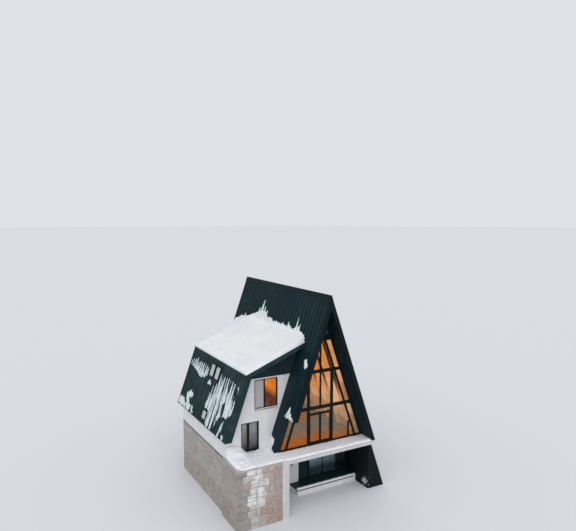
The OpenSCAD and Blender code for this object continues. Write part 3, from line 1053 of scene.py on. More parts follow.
def add_sheet(mesh: Mesh, columns: float, rows: float) -> None:
    """Lays a flat grid one metre wide and deep, with its low corner at the origin.

    Args:
        mesh: the mesh.
        columns: number of its faces sideways, before rounding.
        rows: number of its faces the other way, before rounding.
    """
    bmesh.ops.create_grid(mesh, x_segments=round(columns), y_segments=round(rows), size=0.5)
    for v in mesh.verts:
        v.co += Vector((0.5, 0.5, 0.0))


def thicken(mesh: Mesh) -> set[bmesh.types.BMVert]:
    """Turns a sheet into a closed skin and gives the corners of its upper side."""
    made = bmesh.ops.extrude_face_region(mesh, geom=mesh.faces[:])
    return {g for g in made["geom"] if isinstance(g, bmesh.types.BMVert)}


def round_edges(
    mesh: Mesh, offset: float, edges: Iterable[bmesh.types.BMEdge] | None = None
) -> None:
    """Takes the sharp edges off a mesh.

    Args:
        mesh: the mesh.
        offset: width of the bevel.
        edges: the edges to treat, or none for all.
    """
    bmesh.ops.bevel(
        mesh,
        geom=list(mesh.edges if edges is None else edges),
        offset=offset,
        offset_type="OFFSET",
        segments=1,
        profile=0.5,
        affect="EDGES",
        material=-1,
    )


def trim(mesh: Mesh, point: Place | Vector, normal: Place | Vector) -> None:
    """Cuts away what lies in front of a plane and closes the cut.

    Args:
        mesh: the mesh.
        point: a point on the plane.
        normal: the side that is cut away.
    """
    cut = bmesh.ops.bisect_plane(
        mesh,
        geom=mesh.verts[:] + mesh.edges[:] + mesh.faces[:],
        plane_co=point,
        plane_no=normal,
        dist=1e-5,
        clear_outer=True,
    )
    rim = [e for e in cut["geom_cut"] if isinstance(e, bmesh.types.BMEdge) and e.is_boundary]
    bmesh.ops.holes_fill(mesh, edges=rim, sides=0)


def inside(outline: Outline, y: float, z: float) -> bool:
    """Tells whether a point lies inside an outline.

    Args:
        outline: the outline's corners in order.
        y: the point's first coordinate.
        z: its second coordinate.

    Returns:
        True for a point inside.
    """
    found = False
    for (y0, z0), (y1, z1) in zip(outline, [*outline[1:], outline[0]]):
        if (z0 > z) != (z1 > z) and y < y0 + (y1 - y0) * (z - z0) / (z1 - z0):
            found = not found
    return found


def along(line: Outline, y: float) -> float:
    """Reads a height off a line of points.

    Args:
        line: points as depth and height, by rising depth.
        y: the depth to read at.

    Returns:
        The height at that depth.
    """
    if y <= line[0][0]:
        return line[0][1]
    for (y0, z0), (y1, z1) in zip(line, line[1:]):
        if y <= y1:
            return z0 + (z1 - z0) * (y - y0) / (y1 - y0)
    return line[-1][1]


@dataclass(frozen=True)
class Waves:
    """A smooth random pattern.

    Attributes:
        strength: about how high its bumps are.
        size: about how wide they are.
        seed: picks another pattern.
    """

    strength: float
    size: float
    seed: float

    def at(self, y: float, z: float) -> float:
        """Gives the pattern's height at a place."""
        spot = Vector((y / self.size, z / self.size, self.seed))
        return self.strength * (noise.noise(spot) * 1.6)


def quarter_round(share: float) -> float:
    """Gives the height of a quarter circle at a share of its width, both up to one."""
    return math.sqrt(max(0.0, 1 - (1 - min(1.0, share)) ** 2))


@dataclass
class Studio:
    """Camera, floor and lights."""

    camera_at: Place = (-19.492, -36.993, 19.661)
    camera_turn: Place = (84.825, 0.0, -29.334)
    lens: float = 35.318
    sensor: float = 36.0
    clip_end: float = 3000.0
    floor_colour: str = "#d3d5da"
    floor_radius: float = 900.0
    sky: str = "#fbfcff"
    sky_strength: float = 0.88
    backdrop: str = "#dfe2e8"
    sun_strength: float = 1.1
    sun_from: Place = (-0.4, -0.66, 0.64)
    sun_width: float = 70.0

    def add_camera(self) -> None:
        """Places the camera where the photograph was taken from."""
        data = bpy.data.cameras.new("photo_camera")
        data.lens = self.lens
        data.sensor_width = self.sensor
        data.clip_end = self.clip_end
        camera = add_object("photo_camera", data)
        camera.location = self.camera_at
        camera.rotation_euler = [math.radians(a) for a in self.camera_turn]
        bpy.context.scene.camera = camera

    def add_floor(self) -> None:
        """Lays the pale floor under the house."""
        mesh = bmesh.new()
        bmesh.ops.create_circle(mesh, cap_ends=True, segments=64, radius=self.floor_radius)
        pale = Surface("pale_studio_floor").close(
            self.floor_colour, 1.0, {"Specular IOR Level": 0.0}
        )
        floor = add_object("studio_floor", finished_mesh(mesh, "studio_floor", pale))

    def add_lights(self) -> None:
        """Lights the house softly from above and from all round, before a pale backdrop."""
        data = bpy.data.lights.new("high_soft_light", "SUN")
        data.energy = self.sun_strength
        data.angle = math.radians(self.sun_width)
        sun = add_object("high_soft_light", data)
        sun.rotation_euler = Vector(self.sun_from).to_track_quat("Z", "Y").to_euler()
        world = bpy.data.worlds.new("studio_sky")
        bpy.context.scene.world = world
        world.use_nodes = True
        tree = world.node_tree
        tree.nodes.clear()
        rays = add_node(tree, "LightPath").outputs
        seen = rays["Is Camera Ray"]
        for ray in ("Is Glossy Ray", "Is Transmission Ray"):
            seen = add_node(tree, "Math", {0: seen, 1: rays[ray]}, operation="MAXIMUM").outputs[0]
        sky, pale = (
            add_node(tree, "Background", {"Color": colour, "Strength": strength}).outputs[0]
            for colour, strength in ((self.sky, self.sky_strength), (self.backdrop, 1.0))
        )
        mixed = add_node(tree, "MixShader", {0: seen, 1: sky, 2: pale})
        add_node(tree, "OutputWorld", {"Surface": mixed.outputs[0]})
        bpy.context.scene.view_settings.view_transform = "Standard"

    def build(self) -> None:
        """Sets up the whole studio."""
        self.add_camera()
        self.add_floor()
        self.add_lights()


@dataclass
class SubAssembly:
    """A group of pieces, with the workshop that makes them."""

    shop: Workshop


@dataclass
class SeamedRoofs(SubAssembly):
    """Standing seams, flashings and trims of the steep roofs."""

    seam_gap: float = 0.45
    seam_w: float = 0.055
    seam_h: float = 0.045
    seam_sunk: float = 0.005
    seam_taper: float = 0.45
    window_gap: Span = (0.05, 0.04)
    flash_w: float = 0.14
    flash_t: float = 0.012
    flash_edge: float = 0.003
    eave_strip: Span = (0.16, 0.01)
    foot_strip: float = 0.09
    sheet: CoatedSheet = CoatedSheet()
    frosted: CoatedSheet = CoatedSheet(
        name="frosted_steel_sheet",
        colour="#13282d",
        streak="#20363b",
        frost="#4d6064",
        frost_share=0.35,
        patch_mm=900.0,
    )
    trim_sheet: CoatedSheet = CoatedSheet(
        name="coated_steel_trim", colour="#041318", streak="#0a1c22", frost_share=0.06
    )
    # Front, back, lowest and highest edge of the roof windows, from the lowest up
    windows: tuple[tuple[float, float, float, float], ...] = (
        (4.16, 4.96, 5.44, 6.12),
        (4.05, 5.77, 8.13, 9.07),
    )

    def seam_places(self, front: float, back: float) -> list[float]:
        """Gives the depths of the seams between two edges.

        Args:
            front: front edge of the roof.
            back: its back edge.

        Returns:
            The seams' centres.
        """
        count = round((back - front) / self.seam_gap)
        gap = (back - front) / count
        return [front + gap * (i + 0.5) for i in range(count)]

    def add_seam(self, mesh: Mesh, face: LeaningFace, y: float, z: Span) -> None:
        """Adds one standing seam, which is narrower at its top.

        Args:
            mesh: the mesh to add to.
            face: the roof's face.
            y: the seam's centre.
            z: heights of its two ends.
        """
        half = self.seam_w / 2
        bar = face.bar((y - half, y + half), z, (-self.seam_sunk, self.seam_h))
        for v in add_cube(mesh, bar):
            if (v.co - face.point(v.co.y, v.co.z)).dot(face.normal) > 0:
                v.co.y += (y - v.co.y) * self.seam_taper

    def main_seams(self) -> None:
        """Adds the seams of the main roof's two sides."""
        high = HOUSE.main_z(HOUSE.cap_half) + 0.01
        for face, name in ((MAIN_LEFT, "left_roof_seams"), (MAIN_RIGHT, "right_roof_seams")):
            mesh = bmesh.new()
            for y in self.seam_places(HOUSE.roof_front, HOUSE.roof_back):
                low = HOUSE.slab_top
                if face.side < 0 and y < 0:
                    low = HOUSE.passage_z
                if face.side < 0 and HOUSE.wing_front - 0.1 < y < HOUSE.wing_back + 0.1:
                    low = HOUSE.meet_z
                self.add_seam(mesh, face, y, (low, high))
            self.shop.piece(mesh, name, self.sheet, Slot.ROOF)

    def wing_seams(self) -> None:
        """Adds the seams of the wing's steep roof, broken at the roof windows."""
        mesh = bmesh.new()
        beside, over = self.window_gap
        for y in self.seam_places(HOUSE.wing_front, HOUSE.wing_back):
            breaks = [HOUSE.foot_z]
            for front, back, low, high in self.windows:
                if front - beside < y < back + beside:
                    breaks += [low - over, high + over]
            breaks.append(HOUSE.eave_z - 0.02)
            for ends in zip(breaks[::2], breaks[1::2]):
                self.add_seam(mesh, STEEP, y, ends)
        self.shop.piece(mesh, "wing_roof_seams", self.frosted, Slot.ROOF)

    def flashings(
        self, name: str, finish: CoatedSheet, runs: list[tuple[LeaningFace, Span, Span, int]]
    ) -> None:
        """Adds flat flashings as one piece.

        Args:
            name: the piece's name.
            finish: what they are made of.
            runs: face, depths, heights and number of layers of each flashing.
        """
        mesh = bmesh.new()
        for face, y, z, layers in runs:
            add_cube(mesh, face.bar(y, z, (0.0, self.flash_t * layers)))
        round_edges(mesh, self.flash_edge)
        self.shop.piece(mesh, name, finish, Slot.TRIM)

    def build(self) -> None:
        """Builds the seams and trims and dresses the roofs' solids."""
        self.shop.dress(self.sheet, "left_roof", "right_roof", "wing_upper_roof")
        self.shop.dress(self.frosted, "wing_steep_roof", "wing_bargeboards")
        self.shop.dress(
            self.trim_sheet,
            "ridge_cap",
            "front_bargeboards",
            "back_bargeboards",
            "roof_windows",
            "wall_lamp",
            "door_hinges",
            "door_handle",
        )
        self.shop.dress(PaleRoofWindowGlass(), "roof_glass")
        self.main_seams()
        self.wing_seams()
        self.all_flashings()

    def all_flashings(self) -> None:
        """Adds the flashings of the main roof's verges and round the wing's steep roof."""
        low, top, wide = HOUSE.slab_top, HOUSE.main_z(HOUSE.cap_half), self.flash_w
        front, back = HOUSE.roof_front - HOUSE.verge, HOUSE.roof_back + HOUSE.verge
        runs = [
            (MAIN_LEFT, (front, front + wide), (HOUSE.passage_z, top), 1),
            (MAIN_RIGHT, (front, front + wide), (low, top), 1),
            (MAIN_LEFT, (back - wide, back), (low, top), 1),
            (MAIN_RIGHT, (back - wide, back), (low, top), 1),
        ]
        self.flashings("roof_flashings", self.trim_sheet, runs)
        front, back = HOUSE.wing_front - HOUSE.verge, HOUSE.wing_back + HOUSE.verge
        foot, eave = HOUSE.foot_z, HOUSE.eave_z
        under, over = self.eave_strip
        runs = [
            (STEEP, (front, front + wide), (foot, eave), 1),
            (STEEP, (back - wide, back), (foot, eave), 1),
            (STEEP, (front, back), (eave - under, eave - over), 2),
            (STEEP, (front, back), (foot, foot + self.foot_strip), 2),
        ]
        self.flashings("wing_flashings", self.frosted, runs)


@dataclass(frozen=True)
class ClingingSnow:
    """One piece of thin snow that clings to a steep face.

    Attributes:
        name: the piece's name.
        face: the face that it lies on.
        outlines: outlines of its patches, as depth and height.
        slits: bare gaps in them, as outlines too.
        depth: thickness of the snow.
        wobble: how ragged the outlines are.
        step: size of the mesh's faces.
        tooth: length of the teeth that the upper edges have melted into, or none.
        finish: what the snow looks like.
    """

    name: str
    face: LeaningFace
    outlines: tuple[Outline, ...]
    slits: tuple[Outline, ...] = ()
    depth: float = 0.05
    wobble: float = 0.02
    step: float = 0.03
    tooth: float = 0.0
    finish: SettledSnow = SettledSnow()

    def covers(self, y: float, z: float) -> bool:
        """Tells whether one of the outlines holds a point."""
        return any(inside(outline, y, z) for outline in self.outlines)


@dataclass
class RoofSnow(SubAssembly):
    """Snow that lies on the roofs."""

    finish: SettledSnow = SettledSnow()
    thin: SettledSnow = SettledSnow(
        name="thin_blown_snow", colour="#ced8db", painted_hollow_shade="#b9c7cb", hollow_mm=500.0
    )
    # The blanket on the wing's upper roof: thickness, its drift, and how it meets the main roof
    eave_t: float = 0.17
    drift: float = 0.3
    blend: float = 0.16
    main_t: float = 0.045
    step: float = 0.055
    columns: int = 34
    # The blanket's columns: share and place of its rounded eave and of where its fold begins
    eave_share: float = 0.08
    eave_lip: Span = (0.03, 0.04)
    fold_share: float = 0.66
    fold_x: float = 1.31
    end_round: float = 0.16
    waves: tuple[Waves, Waves] = (Waves(0.05, 1.7, 3.0), Waves(0.02, 0.5, 5.0))
    edge_waves: Waves = Waves(0.08, 0.13, 1.0)
    # The ragged outlines of the thin snow, its slits, and how it thins out towards its rim
    ragged_y: Waves = Waves(1.0, 0.35, 2.0)
    ragged_z: Waves = Waves(2.5, 0.16, 7.0)
    ragged_stretch: float = 0.3
    slit_waves: Waves = Waves(0.4, 0.4, 9.0)
    rim_share: Span = (0.35, 0.8)
    depth_waves: Waves = Waves(0.25, 0.3, 4.0)
    # Its teeth and streaks: shares of their height and width, and how uneven they are
    tooth_gap: float = 0.33
    tooth_half: float = 0.17
    taper: tuple[float, ...] = (0.3, 0.65, 1.0)
    taper_step: float = 0.09
    uneven: Span = (0.9, 0.5)
    sway: Span = (0.25, 0.9)
    streak: Span = (0.14, 2.5)
    streak_share: float = 0.42
    top_edge: Outline = (
        (0.38, 11.12), (0.54, 11.36), (0.86, 11.56), (1.49, 11.72), (1.7, 11.95), (1.96, 11.9),
        (2.07, 11.74), (2.41, 11.63), (3.0, 11.87), (3.3, 11.66), (3.49, 11.72), (3.9, 11.82),
        (4.12, 11.7), (4.89, 11.78), (5.2, 11.68), (5.77, 11.9), (6.41, 11.84), (6.7, 12.15),
        (7.3, 12.2), (7.7, 12.2), (7.93, 12.03), (8.81, 11.74), (9.39, 11.52), (9.72, 11.45),
    )
    spikes: tuple[Outline, ...] = (
        ((1.74, 11.8), (2.06, 11.8), (2.0, 12.1), (1.97, 12.42), (1.92, 12.44), (1.86, 12.1)),
        ((1.46, 11.6), (1.62, 11.6), (1.58, 12.1), (1.52, 12.12)),
        ((7.3, 12.1), (7.7, 12.1), (7.6, 12.5), (7.5, 12.98), (7.44, 13.0), (7.4, 12.6)),
        ((6.95, 12.1), (7.16, 12.1), (7.12, 12.48), (7.06, 12.5)),
        ((7.8, 11.9), (8.02, 11.9), (7.94, 12.3), (7.86, 12.32)),
        ((6.5, 11.8), (6.72, 11.8), (6.68, 12.3), (6.6, 12.32)),
        ((3.0, 11.6), (3.2, 11.6), (3.14, 12.02), (3.08, 12.0)),
    )
    behind: Outline = (
        (9.7, 9.2), (9.7, 11.5), (10.77, 11.28), (11.57, 11.0), (11.84, 10.75), (11.84, 10.1),
        (11.2, 9.7), (10.4, 9.3),
    )
    strip: tuple[Outline, ...] = (
        ((-0.12, 10.02), (-0.5, 10.16), (-0.78, 9.66), (-0.5, 9.5)),
        (
            (-0.2, 7.04), (0.0, 6.72), (0.21, 6.34), (-0.3, 6.3), (-1.08, 6.3), (-0.8, 6.5),
            (-0.55, 6.56),
        ),
    )
    bank: Outline = (
        (1.06, 5.02), (0.95, 4.86), (0.78, 4.82), (0.56, 4.74), (0.5, 4.5), (0.54, 4.25),
        (0.4, 4.1), (0.1, 3.95), (1.06, 3.95),
    )
    steep: Outline = (
        (3.9, 8.1), (3.77, 8.68), (3.4, 8.64), (2.95, 8.62), (2.48, 8.7), (2.09, 8.67),
        (1.44, 8.66), (1.08, 8.46), (1.28, 8.14), (0.9, 7.79), (0.56, 7.58), (0.53, 7.31),
        (0.77, 6.89), (1.12, 6.61), (1.21, 6.44), (1.9, 6.4), (2.4, 6.2), (2.6, 5.66),
        (2.9, 5.32), (3.16, 5.18), (3.53, 5.2), (3.95, 5.19), (4.1, 5.38), (4.12, 6.14),
        (5.0, 6.18), (4.97, 6.33), (4.75, 6.78), (4.78, 7.21), (4.65, 7.54), (4.45, 7.79),
    )
    steep_drift: Outline = (
        (9.5, 8.52), (8.71, 8.68), (8.3, 8.75), (7.47, 8.66), (6.93, 8.74), (6.18, 8.68),
        (5.86, 8.2), (6.3, 7.86), (6.83, 7.74), (7.45, 7.8), (8.03, 7.95), (8.5, 8.0),
        (9.41, 8.14),
    )
    steep_bits: tuple[Outline, ...] = (
        ((5.64, 7.89), (5.24, 7.98), (4.98, 7.68), (5.37, 7.58)),
        ((1.62, 6.2), (1.44, 6.2), (1.62, 5.19), (1.95, 5.19)),
        ((1.3, 5.48), (1.12, 5.5), (0.9, 5.22), (1.12, 5.2)),
        ((2.32, 6.5), (2.5, 6.5), (2.55, 6.0), (2.38, 6.0)),
        ((0.98, 8.5), (0.84, 8.52), (0.62, 8.2), (0.76, 8.16)),
        ((8.3, 6.45), (7.6, 6.5), (7.28, 6.3), (7.5, 6.1), (8.2, 6.16)),
        ((8.5, 6.2), (8.1, 6.24), (7.5, 5.7), (7.1, 5.6), (7.3, 5.19), (7.9, 5.19)),
        ((9.6, 5.75), (8.9, 5.8), (8.3, 5.6), (8.0, 5.19), (9.6, 5.19)),
        ((7.05, 5.76), (6.8, 5.74), (6.5, 5.25), (6.9, 5.22)),
    )
    slits: tuple[Outline, ...] = (
        ((2.86, 8.72), (2.98, 8.72), (2.88, 6.7), (2.72, 6.7)),
        ((2.2, 8.72), (2.36, 8.72), (2.14, 7.2), (2.04, 7.2)),
        ((3.38, 7.0), (3.46, 7.2), (3.56, 5.2), (3.34, 5.2)),
        ((2.7, 6.9), (2.84, 7.2), (3.0, 5.2), (2.72, 5.2)),
        ((2.42, 7.1), (2.01, 7.2), (1.9, 6.9), (1.95, 6.3), (2.2, 6.3)),
    )

    def blanket_top(self, x: float, y: float) -> float:
        """Gives the height of the snow on the wing's upper roof.

        Args:
            x: distance from the ridge line.
            y: depth behind the front glazing.

        Returns:
            The height of the snow's surface.
        """
        rise = (HOUSE.eave_x - x) / HOUSE.eave_x
        wave = sum(waves.at(x, y) for waves in self.waves)
        low = HOUSE.upper_z(x) + self.eave_t + self.drift * rise * rise + wave
        high = HOUSE.main_z(x - self.main_t)
        return max(low, high) + max(self.blend - abs(low - high), 0.0) ** 2 / (4 * self.blend)

    def wing_blanket(self) -> None:
        """Builds the snow on the wing's upper roof and up the main roof's side."""
        front = HOUSE.wing_front - HOUSE.verge + 0.01
        back = HOUSE.wing_back + HOUSE.verge + 0.02
        mesh = bmesh.new()
        add_sheet(mesh, self.columns, (back - front) / self.step)
        share = mesh.verts.layers.float.new("share")
        out, back_in = self.eave_lip
        for v in mesh.verts:
            t, y = v.co.x, front + v.co.y * (back - front)
            edge = along(self.top_edge, y) + self.edge_waves.at(y, 0.0)
            columns = (
                (0.0, HOUSE.eave_x + out),
                (self.eave_share, HOUSE.eave_x - back_in),
                (self.fold_share, self.fold_x),
                (1.0, HOUSE.main_x(edge) + 0.02),
            )
            x = along(columns, t)
            z = min(self.blanket_top(x, y), edge)
            if t < self.eave_share:
                z = HOUSE.eave_z + (z - HOUSE.eave_z) * quarter_round(t / self.eave_share)
            v[share] = min(1.0, min(y - front, back - y) / self.end_round)
            v.co = (-x, y, z)
        top = thicken(mesh)
        for v in mesh.verts:
            x = -v.co.x
            floor = max(HOUSE.upper_z(x), HOUSE.main_z(x)) + 0.004
            if x > HOUSE.eave_x:
                floor = min(v.co.z, HOUSE.eave_z)
            if v in top:
                v.co.z = max(floor, floor + (v.co.z - floor) * quarter_round(v[share]))
            else:
                v.co.z = floor - 0.012
                v.co.x += 0.01 if x > HOUSE.eave_x - 0.1 else 0.0
        self.shop.piece(
            mesh, "wing_snow_blanket", self.finish, Slot.SNOW, replaces=("wing_snow",), smooth=True
        )

    def covered(self, snow: ClingingSnow, spot: Vector, y: float, z: float) -> bool:
        """Tells whether snow clings to a place on a steep face.

        Below the upper edge the snow has melted into teeth, which taper upwards and stand
        between the seams, and straight streaks run through what lies under them.

        Args:
            snow: the piece of snow.
            spot: the place itself.
            y: depth behind the front glazing, with the outlines' wobble.
            z: height above the ground, with the wobble too.

        Returns:
            True where there is snow.
        """
        if not snow.covers(y, z):
            return False
        if not snow.tooth:
            return True
        (uneven, gap), (swing, swing_gap) = self.uneven, self.sway
        reach = snow.tooth * (1.0 + uneven * noise.noise(Vector((spot.y / gap, 3.0, 1.0))))
        below = sum(snow.covers(y, z + reach * part) for part in self.taper)
        if below == len(self.taper):
            wide, long = self.streak
            streaks = noise.noise(Vector((spot.y / wide, spot.z / long, 17.0)))
            return streaks < self.streak_share
        sway = swing * noise.noise(Vector((spot.y / swing_gap, 0.0, 5.0)))
        turn = (spot.y / self.tooth_gap + sway) % 1.0
        return abs(turn - 0.5) < self.tooth_half + self.taper_step * below

    def clear_bare(self, mesh: Mesh, snow: ClingingSnow) -> None:
        """Takes the faces out of a sheet that no snow covers.

        Args:
            mesh: the sheet.
            snow: the piece of snow.
        """
        bare = []
        for f in mesh.faces:
            spot = f.calc_center_median()
            y = spot.y + snow.wobble * self.ragged_y.at(spot.y, spot.z)
            z = spot.z + snow.wobble * self.ragged_z.at(spot.y, spot.z * self.ragged_stretch)
            slit_y = spot.y + snow.wobble * self.slit_waves.at(spot.z, 0.0)
            slit = any(inside(s, slit_y, z) for s in snow.slits)
            if slit or not self.covered(snow, spot, y, z):
                bare.append(f)
        bmesh.ops.delete(mesh, geom=bare, context="FACES")
        lone = [f for f in mesh.faces if all(len(e.link_faces) < 2 for e in f.edges)]
        bmesh.ops.delete(mesh, geom=lone, context="FACES")

    def cling(self, snow: ClingingSnow) -> None:
        """Builds one piece of thin snow, thinner towards its rim.

        Args:
            snow: the piece.
        """
        ys, zs = zip(*(p for outline in snow.outlines for p in outline))
        y0, y1, z0, z1 = min(ys) - 0.1, max(ys) + 0.1, min(zs) - 0.02, max(zs) + 0.1
        mesh = bmesh.new()
        add_sheet(mesh, (y1 - y0) / snow.step, (z1 - z0) / (snow.step * 1.6))
        for v in mesh.verts:
            v.co = (0, y0 + v.co.x * (y1 - y0), z0 + v.co.y * (z1 - z0))
        self.clear_bare(mesh, snow)
        thick = mesh.verts.layers.float.new("thick")
        rim_share, ring_share = self.rim_share
        for v in mesh.verts:
            ring = any(w.is_boundary for e in v.link_edges for w in e.verts)
            v[thick] = snow.depth * (rim_share if v.is_boundary else ring_share if ring else 1.0)
            v[thick] *= 1 + self.depth_waves.at(v.co.y, v.co.z)
        rim = [v for v in mesh.verts if v.is_boundary]
        axes = {f"use_axis_{axis}": True for axis in "xyz"}
        bmesh.ops.smooth_vert(mesh, verts=rim, factor=0.5, **axes)
        top = thicken(mesh)
        for v in mesh.verts:
            v.co = snow.face.point(v.co.y, v.co.z, v[thick] if v in top else -0.004)
        self.shop.piece(mesh, snow.name, snow.finish, Slot.SNOW, smooth=True)

    def build(self) -> None:
        """Builds all the snow on the roofs."""
        self.wing_blanket()
        fine = {"depth": 0.04, "wobble": 0.03, "step": 0.036, "finish": self.thin}
        deep = {"depth": 0.09, "wobble": 0.06, "step": 0.07}
        low = {"depth": 0.07, "wobble": 0.05, "step": 0.04}
        for snow in (
            ClingingSnow("steep_roof_snow", STEEP, (self.steep,), self.slits, tooth=0.8, **fine),
            ClingingSnow("steep_roof_drift", STEEP, (self.steep_drift,), tooth=0.5, **fine),
            ClingingSnow("steep_roof_bits", STEEP, self.steep_bits, finish=self.thin, wobble=0.05),
            ClingingSnow("left_roof_streaks", MAIN_LEFT, self.spikes, finish=self.thin),
            ClingingSnow("left_roof_snow", MAIN_LEFT, (self.behind,), **deep),
            ClingingSnow("front_edge_snow", MAIN_LEFT, self.strip, wobble=0.04),
            ClingingSnow("front_foot_snow", MAIN_LEFT, (self.bank,), **low),
        ):
            self.cling(snow)


@dataclass
class DeckSnow(SubAssembly):
    """Snow on the deck, the terrace and the step before the entrance."""

    finish: SettledSnow = SettledSnow("drifted_snow", "#e4e4e9", "#d8d9df", hollow_mm=330.0)
    # Painted shade: a grey copy of the snow for the dabs on the cheek's foot, under the deck
    dusting: SettledSnow = SettledSnow(
        "painted_shade_dusted_snow", "#b4bec1", "#8e9a9d", hollow_mm=160.0
    )
    smear_at: Span = (-0.02, 0.42)
    smear_half: Span = (0.34, 0.26)
    smear_spread: Span = (0.17, 0.12)
    smear_slant: float = 0.3
    smear_dabs: int = 70
    smear_seed: int = 19
    dab: Span = (0.05, 0.1)
    dab_tall: Span = (0.9, 1.6)
    dab_flat: float = 0.3
    left: float = -6.71
    right: float = 3.4
    front: float = -1.14
    bare_rim: float = 0.07
    corner: Span = (0.34, 0.42)
    step: float = 0.07
    edge_round: float = 0.12
    edge_least: float = 0.3
    hang: float = 0.045
    hang_waves: Waves = Waves(0.02, 0.3, 6.0)
    waves: tuple[Waves, Waves] = (Waves(0.015, 0.9, 11.0), Waves(0.01, 0.25, 13.0))
    drift_waves: Waves = Waves(0.12, 0.6, 19.0)
    lumps: Waves = Waves(0.13, 0.34, 15.0)
    # Middle of the lumps and how far they reach, and how far the drifts reach and how they end
    lumps_at: Span = (-6.2, 1.1)
    window_reach: Span = (0.62, 1.3)
    foot_reach: Span = (0.4, 1.4)
    lip: float = 0.03
    ledge_cuts: int = 28
    ledge_waves: Waves = Waves(0.02, 0.22, 21.0)
    dab_waves: tuple[Waves, Waves] = (Waves(0.02, 0.05, 31.0), Waves(0.02, 0.05, 33.0))
    sill: tuple[Place, Place] = ((-4.63, 1.02, 6.778), (-2.82, 1.118, 6.83))
    window_drift: Outline = (
        (-6.86, 0.42), (-6.6, 0.7), (-6.3, 0.72), (-5.9, 0.64), (-5.6, 0.48), (-5.42, 0.24),
        (-5.2, 0.05), (-4.8, 0.0), (-4.35, 0.09), (-3.9, 0.02),
    )
    foot_drift: Outline = ((-0.2, 0.0), (0.2, 0.1), (0.7, 0.18), (1.05, 0.16))

    def left_end(self, y: float) -> float:
        """Gives the snow's left edge, which is cut off at the terrace's corner."""
        share = (self.front + self.bare_rim + self.corner[1] - y) / self.corner[1]
        return self.left + self.corner[0] * max(0.0, share) ** 2

    def front_end(self, x: float) -> float:
        """Gives the snow's front edge, which hangs over the balcony but not over the terrace."""
        return self.front + (self.bare_rim if x < HOUSE.stone_end else 0.0)

    def height(self, x: float, y: float) -> float:
        """Gives the height of the deck's snow, with its drifts at the window and the roof's foot.

        Args:
            x: place from the ridge line.
            y: depth behind the front glazing.

        Returns:
            The height of the snow's surface.
        """
        z = HOUSE.deck_z + sum(waves.at(x, y) for waves in self.waves)
        far, power = self.window_reach
        away = max(HOUSE.wing_wall_y - y + self.drift_waves.at(x, y), 0.0)
        window = along(self.window_drift, x) * math.exp(-((away / far) ** power))
        middle, far = self.lumps_at
        lumps = self.lumps.at(x, y) * math.exp(-(((x - middle) / far) ** 2))
        foot = 0.0
        if y > self.foot_drift[0][0]:
            far, power = self.foot_reach
            away = abs(x + HOUSE.main_x(HOUSE.deck_z + 0.3))
            foot = along(self.foot_drift, y) * math.exp(-((away / far) ** power))
        return z + window + max(lumps, -0.03) + foot

    def deck(self) -> None:
        """Builds the snow on the terrace and the balcony as one blanket."""
        back = HOUSE.wing_wall_y - 0.003
        mesh = bmesh.new()
        add_sheet(mesh, (self.right - self.left) / self.step, (back - self.front) / self.step)
        for v in mesh.verts:
            front = self.front_end(self.left + v.co.x * (self.right - self.left))
            y = front + v.co.y * (back - front)
            left = self.left_end(y)
            v.co = (left + v.co.x * (self.right - left), y, HOUSE.slab_top)
        face_x = -HOUSE.main_x(HOUSE.deck_z)
        middles = {f: f.calc_center_median() for f in mesh.faces}
        inner = [f for f, at in middles.items() if at.x > face_x - 0.01 and at.y > -0.01]
        bmesh.ops.delete(mesh, geom=inner, context="FACES")
        top = thicken(mesh)
        for v in mesh.verts:
            x, y = v.co.x, v.co.y
            edge = min(x - self.left_end(y), y - self.front_end(x))
            if v in top:
                low = HOUSE.slab_top + (0.004 if x < HOUSE.stone_end else -0.02)
                soft = max(quarter_round(edge / self.edge_round), self.edge_least)
                v.co.z = low + (self.height(x, y) - low) * soft
                if y > 0 and x > face_x - 0.04:
                    v.co.x += HOUSE.slope * (v.co.z - HOUSE.deck_z)
            elif edge < 0.03 and x > HOUSE.stone_end:
                v.co.z = HOUSE.slab_top - self.hang - self.hang_waves.at(x, y)
            else:
                v.co.z = HOUSE.slab_top + 0.002
        self.shop.piece(
            mesh, "deck_snow_blanket", self.finish, Slot.SNOW, replaces=("deck_snow",), smooth=True
        )

    def ledges(self) -> None:
        """Builds the rounded snow on the porch's edge, the sills and the foot of the cheek."""
        edge_z, front, right = HOUSE.porch_z, HOUSE.porch_y - self.lip, HOUSE.cheek_x - 0.01
        porch = (
            (HOUSE.porch_x - self.lip, front, edge_z),
            (right, HOUSE.porch_y + 0.14, edge_z + 0.13),
        )
        foot = ((HOUSE.cheek_x - 0.16, front, 0.0), (right, HOUSE.porch_y, edge_z + 0.02))
        mesh = bmesh.new()
        for low, high in (porch, foot, self.sill):
            upper = [
                e
                for e in {e for v in add_box(mesh, low, high) for e in v.link_edges}
                if not e.verts[0].co.z == e.verts[1].co.z == low[2]
            ]
            long = [e for e in upper if abs(e.verts[0].co.x - e.verts[1].co.x) > 0.5]
            bmesh.ops.subdivide_edges(mesh, edges=long, cuts=self.ledge_cuts, use_grid_fill=True)
        round_edges(mesh, 0.02, [e for e in mesh.edges if e.calc_face_angle(0.0) > 0.5])
        for v in mesh.verts:
            bump = self.ledge_waves.at(v.co.x, v.co.y + v.co.z)
            v.co.z += max(bump, -0.004)
            v.co.y += 0.4 * bump
        self.shop.piece(mesh, "ledge_snow", self.finish, Slot.SNOW, smooth=True)

